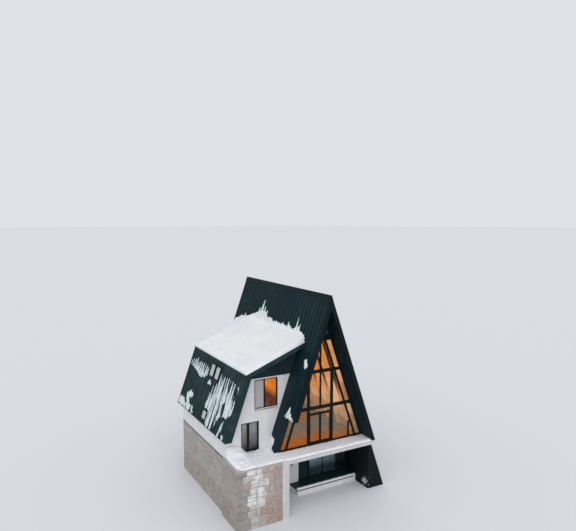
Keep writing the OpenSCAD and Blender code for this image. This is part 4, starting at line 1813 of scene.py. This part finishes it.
    def smear(self) -> None:
        """Builds the little snow that the wind has left on the cheek's foot, in small dabs.

        Their grey is painted shade.
        """
        mesh = bmesh.new()
        dice = random.Random(self.smear_seed)
        for _ in range(self.smear_dabs):
            y = dice.gauss(0.0, self.smear_spread[0])
            z = dice.gauss(0.0, self.smear_spread[1]) - self.smear_slant * y
            far = math.hypot(y / self.smear_half[0], z / self.smear_half[1])
            wide = dice.uniform(*self.dab) / (1.0 + far)
            tall = wide * dice.uniform(*self.dab_tall)
            size = Matrix.Diagonal((self.dab_flat * wide, wide, tall, 1))
            at = (HOUSE.cheek_x, y + self.smear_at[0], z + self.smear_at[1])
            place = Matrix.Translation(at) @ size
            bmesh.ops.create_icosphere(mesh, subdivisions=2, radius=1.0, matrix=place)
        for v in mesh.verts:
            v.co.y += self.dab_waves[0].at(v.co.z, v.co.x)
            v.co.z += self.dab_waves[1].at(v.co.y, v.co.x)
        trim(mesh, (HOUSE.cheek_x + 0.002, 0, 0), (1, 0, 0))
        trim(mesh, (0, 0, 0.004), DOWN)
        self.shop.piece(mesh, "cheek_snow", self.dusting, Slot.SNOW, smooth=True)

    def build(self) -> None:
        """Builds all the snow at the deck's level and below."""
        self.deck()
        self.ledges()
        self.smear()


@dataclass(frozen=True)
class StonePatch:
    """One upright face that is built of stones.

    Attributes:
        start: the face's lower corner.
        run: the horizontal direction along the face.
        look: the direction that the face looks in.
        length: the face's length.
        high: height of its upper end.
        rime: how much rime its stones carry, by distance along the face.
        warm: how brown its stones are, by distance along the face.
    """

    start: Place
    run: Place
    look: Place
    length: float
    high: float
    rime: Outline = ((0.0, 0.22), (1.0, 0.22))
    warm: Outline = ((0.0, 0.3), (1.0, 0.3))


@dataclass
class StoneWork(SubAssembly):
    """Rubble that the base's walls are built of."""

    finish: RoughStone = RoughStone()
    mortar: PlainConcrete = PlainConcrete(
        name="lime_mortar", colour="#b9b4ae", dark="#97918a", mottle_mm=90.0
    )
    seed: int = 7
    course: Span = (0.26, 0.5)
    stone: Span = (0.28, 0.8)
    joint: float = 0.024
    proud: Span = (0.012, 0.045)
    sunk: float = 0.02
    tilt: float = 4.0
    split: Span = (0.38, 0.62)
    split_from: float = 0.29
    split_share: float = 0.55
    tone_spread: float = 0.35
    rime_spread: Span = (0.7, 1.1)
    rime_z: float = 1.5
    round_off: float = 0.04
    # How rough the stones are and how the courses wave, with bumps for each metre
    rough: Span = (0.055, 3.5)
    wave: Span = (0.16, 0.75)
    wave_fade: float = 0.6
    # The shortest and lowest rest that gets stones, and the largest that the last ones take up
    least: Span = (0.08, 0.1)
    spare: Span = (0.14, 0.12)
    top: float = 3.83
    side_lower: float = 0.07
    back_higher: float = 0.05
    corner_y: float = 1.35
    front_lap: float = 0.03
    terrace_length: float = 2.46
    back_length: float = 8.8
    roof_inset: float = 0.04
    bed_t: float = 0.012
    bed_cuts: int = 30
    bed_rough: Span = (0.004, 9.0)
    front_rime: Outline = (
        (0.0, 0.1), (0.35, 0.2), (0.45, 1.3), (1.4, 1.2), (1.6, 0.3), (2.2, 0.35), (3.2, 0.1),
    )
    front_warm: Outline = ((0.0, 0.1), (1.3, 0.3), (1.7, 1.0), (3.2, 1.0))

    def patches(self) -> list[StonePatch]:
        """Gives the faces that are built of stones.

        Returns:
            The faces, in the order in which they are laid.
        """
        side, back, hall = HOUSE.side_x, HOUSE.wing_wall_back, HOUSE.hall_back
        terrace, front, end = HOUSE.terrace_x, HOUSE.roof_front, HOUSE.stone_end
        low_top = HOUSE.slab_low - 0.02
        right, inwards = (1, 0, 0), (0, 1, 0)
        to_front, to_left, to_back = (0, -1, 0), (-1, 0, 0), (0, 1, 0)
        lap, corner, top = self.sunk, self.corner_y, self.top
        side_top, back_top = top - self.side_lower, top + self.back_higher
        start_x = terrace - self.front_lap
        front_start, front_length = (start_x, front, 0), end - start_x
        tones = {"rime": self.front_rime, "warm": self.front_warm}
        return [
            StonePatch(front_start, right, to_front, front_length, top, **tones),
            StonePatch((terrace, front, 0), inwards, to_left, self.terrace_length, top),
            StonePatch((side, corner, 0), inwards, to_left, back - corner + lap, side_top),
            StonePatch((side - lap, back, 0), right, to_back, end - side + lap, back_top),
            StonePatch((end, back, 0), inwards, to_left, hall - back + lap, low_top),
            StonePatch((end - lap, hall, 0), right, to_back, self.back_length, low_top),
        ]

    def lay_stone(
        self, mesh: Mesh, patch: StonePatch, dice: random.Random, s: Span, z: Span, course_z: float
    ) -> None:
        """Lays one stone.

        Args:
            mesh: the mesh to add to.
            patch: the face.
            dice: source of the random sizes.
            s: where it starts along the face, and its width.
            z: where it starts in height, and its own height.
            course_z: height of its course.
        """
        run, look = Vector(patch.run), Vector(patch.look)
        basis = Matrix((run, look, -DOWN)).transposed().to_4x4()
        out = dice.uniform(*self.proud)
        middle = Vector(patch.start) + run * (s[0] + s[1] / 2) + look * (out - self.sunk) / 2
        middle.z = z[0] + z[1] / 2
        size = Matrix.Diagonal((s[1] - self.joint, out + self.sunk, z[1] - self.joint, 1))
        turn = Matrix.Rotation(math.radians(dice.uniform(-self.tilt, self.tilt)), 4, "Y")
        corners = add_cube(mesh, Matrix.Translation(middle) @ basis @ turn @ size)
        brown = along(patch.warm, s[0]) + dice.uniform(-self.tone_spread, self.tone_spread)
        rime = along(patch.rime, s[0]) * dice.uniform(*self.rime_spread)
        rime *= 1.0 if course_z > self.rime_z else 0.5
        set_layer(mesh, corners, Layer.STONE_TONE, min(1.0, max(0.0, brown)))
        set_layer(mesh, corners, Layer.STONE_FROST, min(1.0, rime))

    def lay(self, mesh: Mesh, patch: StonePatch, dice: random.Random) -> None:
        """Lays the stones of one face, course by course.

        Args:
            mesh: the mesh to add to.
            patch: the face.
            dice: source of the random sizes.
        """
        z = 0.0
        while z < patch.high - self.least[1]:
            rise = dice.uniform(*self.course)
            if z + rise > patch.high - self.spare[1]:
                rise = patch.high - z
            s = 0.0
            while s < patch.length - self.least[0]:
                width = dice.uniform(*self.stone)
                if s + width > patch.length - self.spare[0]:
                    width = patch.length - s
                two = rise > self.split_from and dice.random() < self.split_share
                low = rise * (dice.uniform(*self.split) if two else 1.0)
                self.lay_stone(mesh, patch, dice, (s, width), (z, low), z)
                if two:
                    self.lay_stone(mesh, patch, dice, (s, width), (z + low, rise - low), z)
                s += width
            z += rise

    def bed(self) -> None:
        """Builds the mortar between the stones of the wing's side and back wall."""
        side, back, t = HOUSE.side_x, HOUSE.wing_wall_back, self.bed_t
        mesh = bmesh.new()
        side_top, back_top = self.top - self.side_lower, self.top + self.back_higher
        add_box(mesh, (side - t, self.corner_y, 0.0), (side + 0.002, back + t, side_top))
        add_box(mesh, (side, back - 0.002, 0.0), (HOUSE.stone_end, back + t, back_top))
        bmesh.ops.subdivide_edges(
            mesh, edges=mesh.edges[:], cuts=self.bed_cuts, use_grid_fill=True
        )
        rough, bumps = self.bed_rough
        for v in mesh.verts:
            out = rough * noise.noise(v.co * bumps)
            v.co.x -= out if v.co.x < side - 0.01 else 0.0
            v.co.y += out if v.co.y > back + 0.01 else 0.0
        self.shop.piece(mesh, "mortar_bed", self.mortar, Slot.STONE)

    def build(self) -> None:
        """Builds the stones and dresses the walls behind them as mortar."""
        dice = random.Random(self.seed)
        mesh = start_mesh(Layer.STONE_TONE, Layer.STONE_FROST)
        for patch in self.patches():
            self.lay(mesh, patch, dice)
        round_edges(mesh, self.round_off)
        (rough, bumps), (wave, long_bumps) = self.rough, self.wave
        # Without a seed of its own this noise would change with every run
        noise.seed_set(self.seed)
        for v in mesh.verts:
            shake = noise.noise_vector(v.co * bumps)
            free = max(0.0, min(v.co.z, self.top - v.co.z, self.wave_fade)) / self.wave_fade
            v.co += Vector((shake.x * 0.4, shake.y * 0.4, shake.z)) * rough
            v.co.z += wave * free * noise.noise(v.co * long_bumps)
        trim(mesh, MAIN_RIGHT.point(0, 0, -self.roof_inset), MAIN_RIGHT.normal)
        trim(mesh, (0, 0, 0.002), DOWN)
        self.shop.piece(mesh, "rubble_stones", self.finish, Slot.STONE)
        self.bed()
        self.shop.dress(self.mortar, "retaining_wall", "terrace_side_wall", "base_back_walls")


@dataclass
class BoardWork(SubAssembly):
    """Sawn boards on the gables, the base's leaning wall and the entrance door."""

    finish: StainedWood = StainedWood("sawn_stained_boards", "#15272b", "#203439")
    # Painted shade: a near black copy of the stained boards for the cheek and the apex, which lie
    # in shade
    shade: StainedWood = StainedWood("painted_shade_stained_boards", "#070f10", "#0e1a1c")
    board: float = 0.145
    gap: float = 0.012
    thick: float = 0.018
    edge: float = 0.004
    clear: float = 0.003
    seat: float = 0.002
    low: float = 8.93
    wing_ends: Span = (-5.6, -1.0)
    wing_peak: float = 11.2
    back_half: float = 1.74
    apex_half: float = 0.9
    peak: float = 13.4
    pad: float = 0.06
    door_edge: float = 0.003
    door_rows: tuple[Place, Place] = ((-0.39, 2.533, 0.43), (0.4, 2.5405, 2.52))

    def lefts(self, low: float, high: float) -> list[Span]:
        """Shares a length out among boards.

        Args:
            low: where the first board starts.
            high: where the last one ends.

        Returns:
            The two sides of each board.
        """
        count = round((high - low) / self.board)
        step = (high - low) / count
        starts = [low + step * i + self.gap / 2 for i in range(count)]
        return [(start, start + step - self.gap) for start in starts]

    def boards(
        self,
        name: str,
        finish: StainedWood,
        rows: Iterable[tuple[Place, Place]],
        cuts: Iterable[tuple[Place | Vector, Place | Vector]] = (),
        edge: float | None = None,
        body: Body = Body.HOUSE,
    ) -> None:
        """Builds rows of upright boards as one piece.

        Args:
            name: the piece's name.
            finish: what the boards are made of.
            rows: lowest and highest corner of each row.
            cuts: planes that cut the boards to shape, as a point and a direction.
            edge: width of the boards' worn edges, or none for the usual one.
            body: the body that they ride on.
        """
        mesh = bmesh.new()
        for low, high in rows:
            for left, right in self.lefts(low[0], high[0]):
                add_box(mesh, (left, *low[1:]), (right, *high[1:]))
        round_edges(mesh, edge or self.edge)
        for point, normal in cuts:
            trim(mesh, point, normal)
        self.shop.piece(mesh, name, finish, Slot.BOARDS, body=body)

    def gables(self) -> None:
        """Boards the wing's two gables, the main back gable and the one over the glazing."""
        depth, thick, seat = HOUSE.roof_depth, self.thick, self.seat
        front, back = HOUSE.wing_wall_y - self.pad, HOUSE.wing_wall_back + self.pad
        (left, right), high = self.wing_ends, self.wing_peak
        rows = (
            ((left, front - thick, self.low), (right, front + seat, high)),
            ((left, back - seat, self.low), (right, back + thick, high)),
        )
        steep_depth = HOUSE.steep_t * math.cos(HOUSE.lean)
        cuts = (
            HOUSE.under_upper(self.clear),
            (STEEP.point(0, 0, -steep_depth - self.clear), STEEP.normal),
            (MAIN_LEFT.point(0, 0, self.clear), -MAIN_LEFT.normal),
        )
        self.boards("wing_gable_boards", self.finish, rows, cuts)
        cuts = [(f.point(0, 0, -depth - self.clear), f.normal) for f in (MAIN_LEFT, MAIN_RIGHT)]
        face, half = HOUSE.hall_back + self.pad, self.back_half
        rows = (((-half, face - seat, self.low), (half, face + thick, self.peak)),)
        self.boards("back_gable_boards", self.finish, rows, cuts)
        rows = (((-self.apex_half, -thick, HOUSE.apex_z), (self.apex_half, seat, self.peak)),)
        self.boards("apex_boards", self.shade, rows, cuts)

    def leaning_wall(self) -> None:
        """Boards the base's leaning wall and the front of its cheek."""
        mesh = bmesh.new()
        high, front = HOUSE.slab_low, HOUSE.base_front
        for y in self.lefts(front, HOUSE.hall_back):
            add_cube(mesh, MAIN_RIGHT.bar(y, (0.01, high - 0.01), (-self.seat, self.thick)))
        round_edges(mesh, self.edge)
        self.shop.piece(mesh, "leaning_wall_boards", self.finish, Slot.BOARDS)
        low_corner = (HOUSE.cheek_x, front - self.thick, 0.0)
        high_corner = (HOUSE.main_x(0), front + self.seat, high - 0.005)
        cuts = ((MAIN_RIGHT.point(0, 0, -self.clear), MAIN_RIGHT.normal),)
        self.boards("cheek_front_boards", self.shade, ((low_corner, high_corner),), cuts)

    def build(self) -> None:
        """Builds all the boards."""
        self.gables()
        self.leaning_wall()
        self.boards(
            "door_boards", self.finish, (self.door_rows,), edge=self.door_edge, body=Body.DOOR
        )
        self.shop.dress(self.finish, "gable_boards", "right_base_wall", "entrance_door")
        self.shop.dress(self.shade, "right_cheek")


@dataclass
class Interiors(SubAssembly):
    """Wooden linings and floors that show through the glazing, glowing with painted lamplight."""

    # All these boards glow with painted lamplight: an emission, not a lamp
    pine: PaintedLampLightPine = PaintedLampLightPine()
    # Painted lamplight: the wing room's boards glow fully above 7.45 m and barely below 7.05 m
    amber: PaintedLampLightPine = PaintedLampLightPine(
        name="pine_boards_painted_amber_lamplight",
        tones=((1.4, "#e67f10"), (9.0, "#cc6f10")),
        glow=(0.05, 1.0),
        painted_glow_z=(7.05, 7.45),
    )
    floor: PaintedLampLightFloor = PaintedLampLightFloor()
    # Painted light and shade on the rafters: their low parts glow and take a pale painted
    # daylight, and their high parts stay dark as painted shade
    rafter: PaintedLampLightPine = PaintedLampLightPine(
        name="stained_and_painted_shade_rafters",
        tones=((0.4, "#54351d"), (6.0, "#613816")),
        painted_daylight_tone="#ac8460",
        daylight=(6.8, 8.2),
        glow=(0.85, 0.03),
        painted_glow_z=(6.6, 8.0),
    )
    board: float = 0.12
    floorboard: float = 0.16
    floor_half: float = 3.3
    floor_seed: int = 5
    gap: float = 0.005
    thick: float = 0.016
    edge: float = 0.0025
    floor_edge: float = 0.002
    clear: float = 0.0005
    hall_y: Span = (0.16, 11.17)
    hall_z: Span = (3.93, 13.2)
    bedroom_y: Span = (1.37, 9.04)
    bedroom_z: Span = (6.54, 10.9)
    pale_band: Span = (5.45, 6.3)
    pale_share: float = 0.6

    def add_board(self, mesh: Mesh, matrix: Matrix, dice: random.Random, band: float) -> None:
        """Adds one board with its tones.

        Args:
            mesh: the mesh to add to.
            matrix: turns a unit cube into the board.
            dice: source of the tone.
            band: how pale the board is.
        """
        corners = add_cube(mesh, matrix)
        set_layer(mesh, corners, Layer.BOARD_TONE, dice.random())
        set_layer(mesh, corners, Layer.BOARD_BAND, band)

    def sloping(self, mesh: Mesh, face: LeaningFace, y: Span, z: Span, out: Span) -> None:
        """Adds level boards on a leaning face.

        Args:
            mesh: the mesh to add to.
            face: the face.
            y: front and back end of the boards.
            z: lowest and highest edge.
            out: distances of the boards' two sides in front of the face.
        """
        dice = random.Random(round(z[1] * 10) + face.side)
        rise = self.board * math.cos(HOUSE.lean)
        low = z[0]
        while low < z[1]:
            band = self.pale_share if self.pale_band[0] < low < self.pale_band[1] else 0.0
            self.add_board(mesh, face.bar(y, (low, low + rise - self.gap), out), dice, band)
            low += rise

    def hall(self) -> None:
        """Lines the hall's roof and lays its floor."""
        front, back = self.hall_y
        outer = -HOUSE.roof_depth - self.clear
        inner = outer - self.thick
        mesh = start_mesh(Layer.BOARD_TONE, Layer.BOARD_BAND)
        for face in (MAIN_LEFT, MAIN_RIGHT):
            self.sloping(mesh, face, self.hall_y, self.hall_z, (inner, outer))
        round_edges(mesh, self.edge)
        self.shop.piece(mesh, "hall_lining", self.pine, Slot.TIMBER)
        mesh = start_mesh(Layer.BOARD_TONE, Layer.BOARD_BAND)
        dice = random.Random(self.floor_seed)
        size = Matrix.Diagonal((self.floorboard - self.gap, back - front, self.thick, 1))
        x, z = -self.floor_half, HOUSE.slab_top + self.thick / 2 + self.clear
        while x < self.floor_half:
            middle = Matrix.Translation((x, (front + back) / 2, z))
            self.add_board(mesh, middle @ size, dice, 0.0)
            x += self.floorboard
        round_edges(mesh, self.floor_edge)
        for face in (MAIN_LEFT, MAIN_RIGHT):
            trim(mesh, face.point(0, 0, inner), face.normal)
        self.shop.piece(mesh, "hall_floorboards", self.floor, Slot.TIMBER)

    def bedroom(self) -> None:
        """Lines the wing's upper room, where the main roof's side is its wall."""
        mesh = start_mesh(Layer.BOARD_TONE, Layer.BOARD_BAND)
        out = (self.clear, self.thick)
        self.sloping(mesh, MAIN_LEFT, self.bedroom_y, self.bedroom_z, out)
        round_edges(mesh, self.edge)
        trim(mesh, *HOUSE.under_upper(0.02))
        self.shop.piece(mesh, "bedroom_lining", self.amber, Slot.TIMBER)

    def build(self) -> None:
        """Builds all the linings and floors."""
        self.hall()
        self.bedroom()
        self.shop.dress(self.rafter, "rafters")
        self.shop.dress(self.amber, "wing_upper_floor")


@dataclass
class SmallTrims(SubAssembly):
    """Drip edges, sills, the entrance's glazing bars and the small lamp under the ridge."""

    sheet: CoatedSheet = CoatedSheet(
        name="folded_steel_trim", colour="#11191b", streak="#1b2628", frost_share=0.1
    )
    pale: CoatedSheet = CoatedSheet(
        name="galvanised_steel_trim", colour="#7d8487", streak="#8f9699", frost="#b4b9bd"
    )
    lamp_case: CoatedSheet = CoatedSheet(
        name="grey_lamp_case", colour="#3b484c", streak="#46545a", frost="#5f6d72"
    )
    bar_wood: StainedWood = StainedWood("stained_bar_timber", "#0f0d0a", "#1c1713")
    lamp_at: Place = (0.36, -0.018, 11.71)
    plate: Place = (0.08, 0.012, 0.14)
    case: Place = (0.06, 0.075, 0.11)
    lens_radii: Span = (0.045, 0.038)
    lens_t: float = 0.02
    pane_face: float = 2.476
    bar_lines: tuple[float, ...] = (0.468, 1.66, 2.85, 3.66)
    bar_heads: Place = (0.44, 2.595, 3.56)
    bar_left: float = -0.46
    bar_half: float = 0.037
    bar_proud: float = 0.03
    bar_step: float = 0.004
    # A real drip strip, whose dark colour paints the shadow line along the foot of the side wall
    drip: tuple[Place, Place] = ((-6.695, 1.36, 3.8), (-6.658, 9.36, 3.84))
    sill_y: Span = (11.4, 11.53)
    sill_z: Span = (-0.012, 0.008)
    sill_half: float = 0.64
    # Place from the ridge line and height of the back windows' sills
    back_sills: tuple[Span, ...] = ((-1.15, 4.85), (0.0, 7.36), (1.15, 4.85))
    wing_sill: tuple[Place, Place] = ((-4.64, 1.0, 6.748), (-2.81, 1.12, 6.768))
    strip_y: Span = (-0.42, -0.37)
    strip_z: Span = (0.8, 3.58)
    strip_t: float = 0.024
    riser_gap: float = 0.08
    riser_t: float = 0.014
    edge: float = 0.004

    def apex_lamp(self) -> None:
        """Builds the lamp under the ridge: a plate, a case and a round glass rim."""
        x, y, z = self.lamp_at
        mesh = bmesh.new()
        for (wide, deep, high), back in ((self.plate, y), (self.case, y - 0.01)):
            add_box(mesh, (x - wide, y - deep, z - high), (x + wide, back, z + high))
        round_edges(mesh, 0.005)
        turn = Matrix.Rotation(math.pi / 2, 4, "X")
        bmesh.ops.create_cone(
            mesh,
            cap_ends=True,
            segments=20,
            radius1=self.lens_radii[0],
            radius2=self.lens_radii[1],
            depth=self.lens_t,
            matrix=Matrix.Translation((x, y - 0.083, z - 0.03)) @ turn,
        )
        self.shop.piece(mesh, "apex_lamp", self.lamp_case, Slot.TRIM)

    def glazing_bars(self) -> None:
        """Builds the bars that hold the entrance's panes from outside."""
        half, left, right = self.bar_half, self.bar_left, self.bar_lines[-1]
        face, back = self.pane_face - self.bar_proud, self.pane_face + 0.001
        low, split, high = self.bar_heads
        mesh = bmesh.new()
        for x, foot in (*((x, low) for x in self.bar_lines), (left, split)):
            add_box(mesh, (x - half, face, foot - half), (x + half, back, high + half))
        for z, start in ((low, self.bar_lines[0]), (split, left), (high, left)):
            low_corner = (start - half, face + self.bar_step, z - half)
            add_box(mesh, low_corner, (right + half, back, z + half))
        round_edges(mesh, self.edge)
        self.shop.piece(mesh, "entrance_glazing_bars", self.bar_wood, Slot.FRAME)

    def sills(self) -> None:
        """Builds the dark drip edge over the stones and the sills of the back windows.

        The drip edge's dark colour paints the shadow line along the wall's foot.
        """
        (front, back), (under, over), half = self.sill_y, self.sill_z, self.sill_half
        mesh = bmesh.new()
        add_box(mesh, *self.drip)
        for x, z in self.back_sills:
            add_box(mesh, (x - half, front, z + under), (x + half, back, z + over))
        round_edges(mesh, self.edge)
        self.shop.piece(mesh, "sills_and_drips", self.sheet, Slot.TRIM)

    def pale_trims(self) -> None:
        """Builds the strip on the base's leaning edge and the sill of the wing's window."""
        mesh = bmesh.new()
        add_cube(mesh, MAIN_RIGHT.bar(self.strip_y, self.strip_z, (0.0, self.strip_t)))
        add_box(mesh, *self.wing_sill)
        round_edges(mesh, self.edge)
        self.shop.piece(mesh, "pale_trims", self.pale, Slot.TRIM)

    def risers(self) -> None:
        """Builds the plastered risers under the porch's slab."""
        x, y, top = HOUSE.porch_x, HOUSE.porch_y, HOUSE.porch_z - self.riser_gap
        mesh = bmesh.new()
        add_box(mesh, (x - 0.012, y - self.riser_t, 0.0), (HOUSE.cheek_x - 0.002, y, top))
        add_box(mesh, (x - self.riser_t, y, 0.0), (x, HOUSE.entry_y, top))
        round_edges(mesh, 0.003)
        self.shop.piece(mesh, "porch_risers", PaintedPlaster(), Slot.PLASTER)

    def build(self) -> None:
        """Builds the trims."""
        self.sills()
        self.pale_trims()
        self.apex_lamp()
        self.glazing_bars()
        self.risers()


def dress_solids(shop: Workshop) -> None:
    """Gives the other solids that stay in view their finishes.

    Args:
        shop: the workshop.
    """
    wood = StainedWood("stained_frame_timber", "#0f0d0a", "#1c1713")
    # Painted shade: a greyer copy of the white plaster for the balcony slab and the end pillar
    shaded_plaster = PaintedPlaster(name="painted_shade_plaster", colour="#cbcac7", stain="#b5b6b6")
    shop.dress(wood, "front_frame", "deck_doors", "back_windows", "wing_windows")
    shop.dress(wood, "entrance_frame", "door_jambs")
    shop.dress(PaintedPlaster(), "back_wall", "wing_front_wall", "wing_side_wall")
    shop.dress(PaintedPlaster(), "wing_back_wall", "recess_walls")
    shop.dress(shaded_plaster, "balcony_slab", "end_pillar")
    shop.dress(PlainConcrete(), "hall_floor", "terrace_slab", "wing_floor", "ground_floor")
    shop.dress(SlateTile(), "entrance_floor")
    shop.dress(PaneGlass(), "front_glass")
    shop.dress(TintedGlass(), "entrance_glass")
    shop.dress(RimedGlass(), "window_glass")


def main() -> None:
    """Builds the looks round the solids."""
    logging.basicConfig(level=logging.INFO, format="%(name)s: %(message)s")
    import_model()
    shop = Workshop()
    Studio().build()
    SeamedRoofs(shop).build()
    RoofSnow(shop).build()
    DeckSnow(shop).build()
    StoneWork(shop).build()
    BoardWork(shop).build()
    Interiors(shop).build()
    SmallTrims(shop).build()
    dress_solids(shop)


if __name__ == "__main__":
    main()
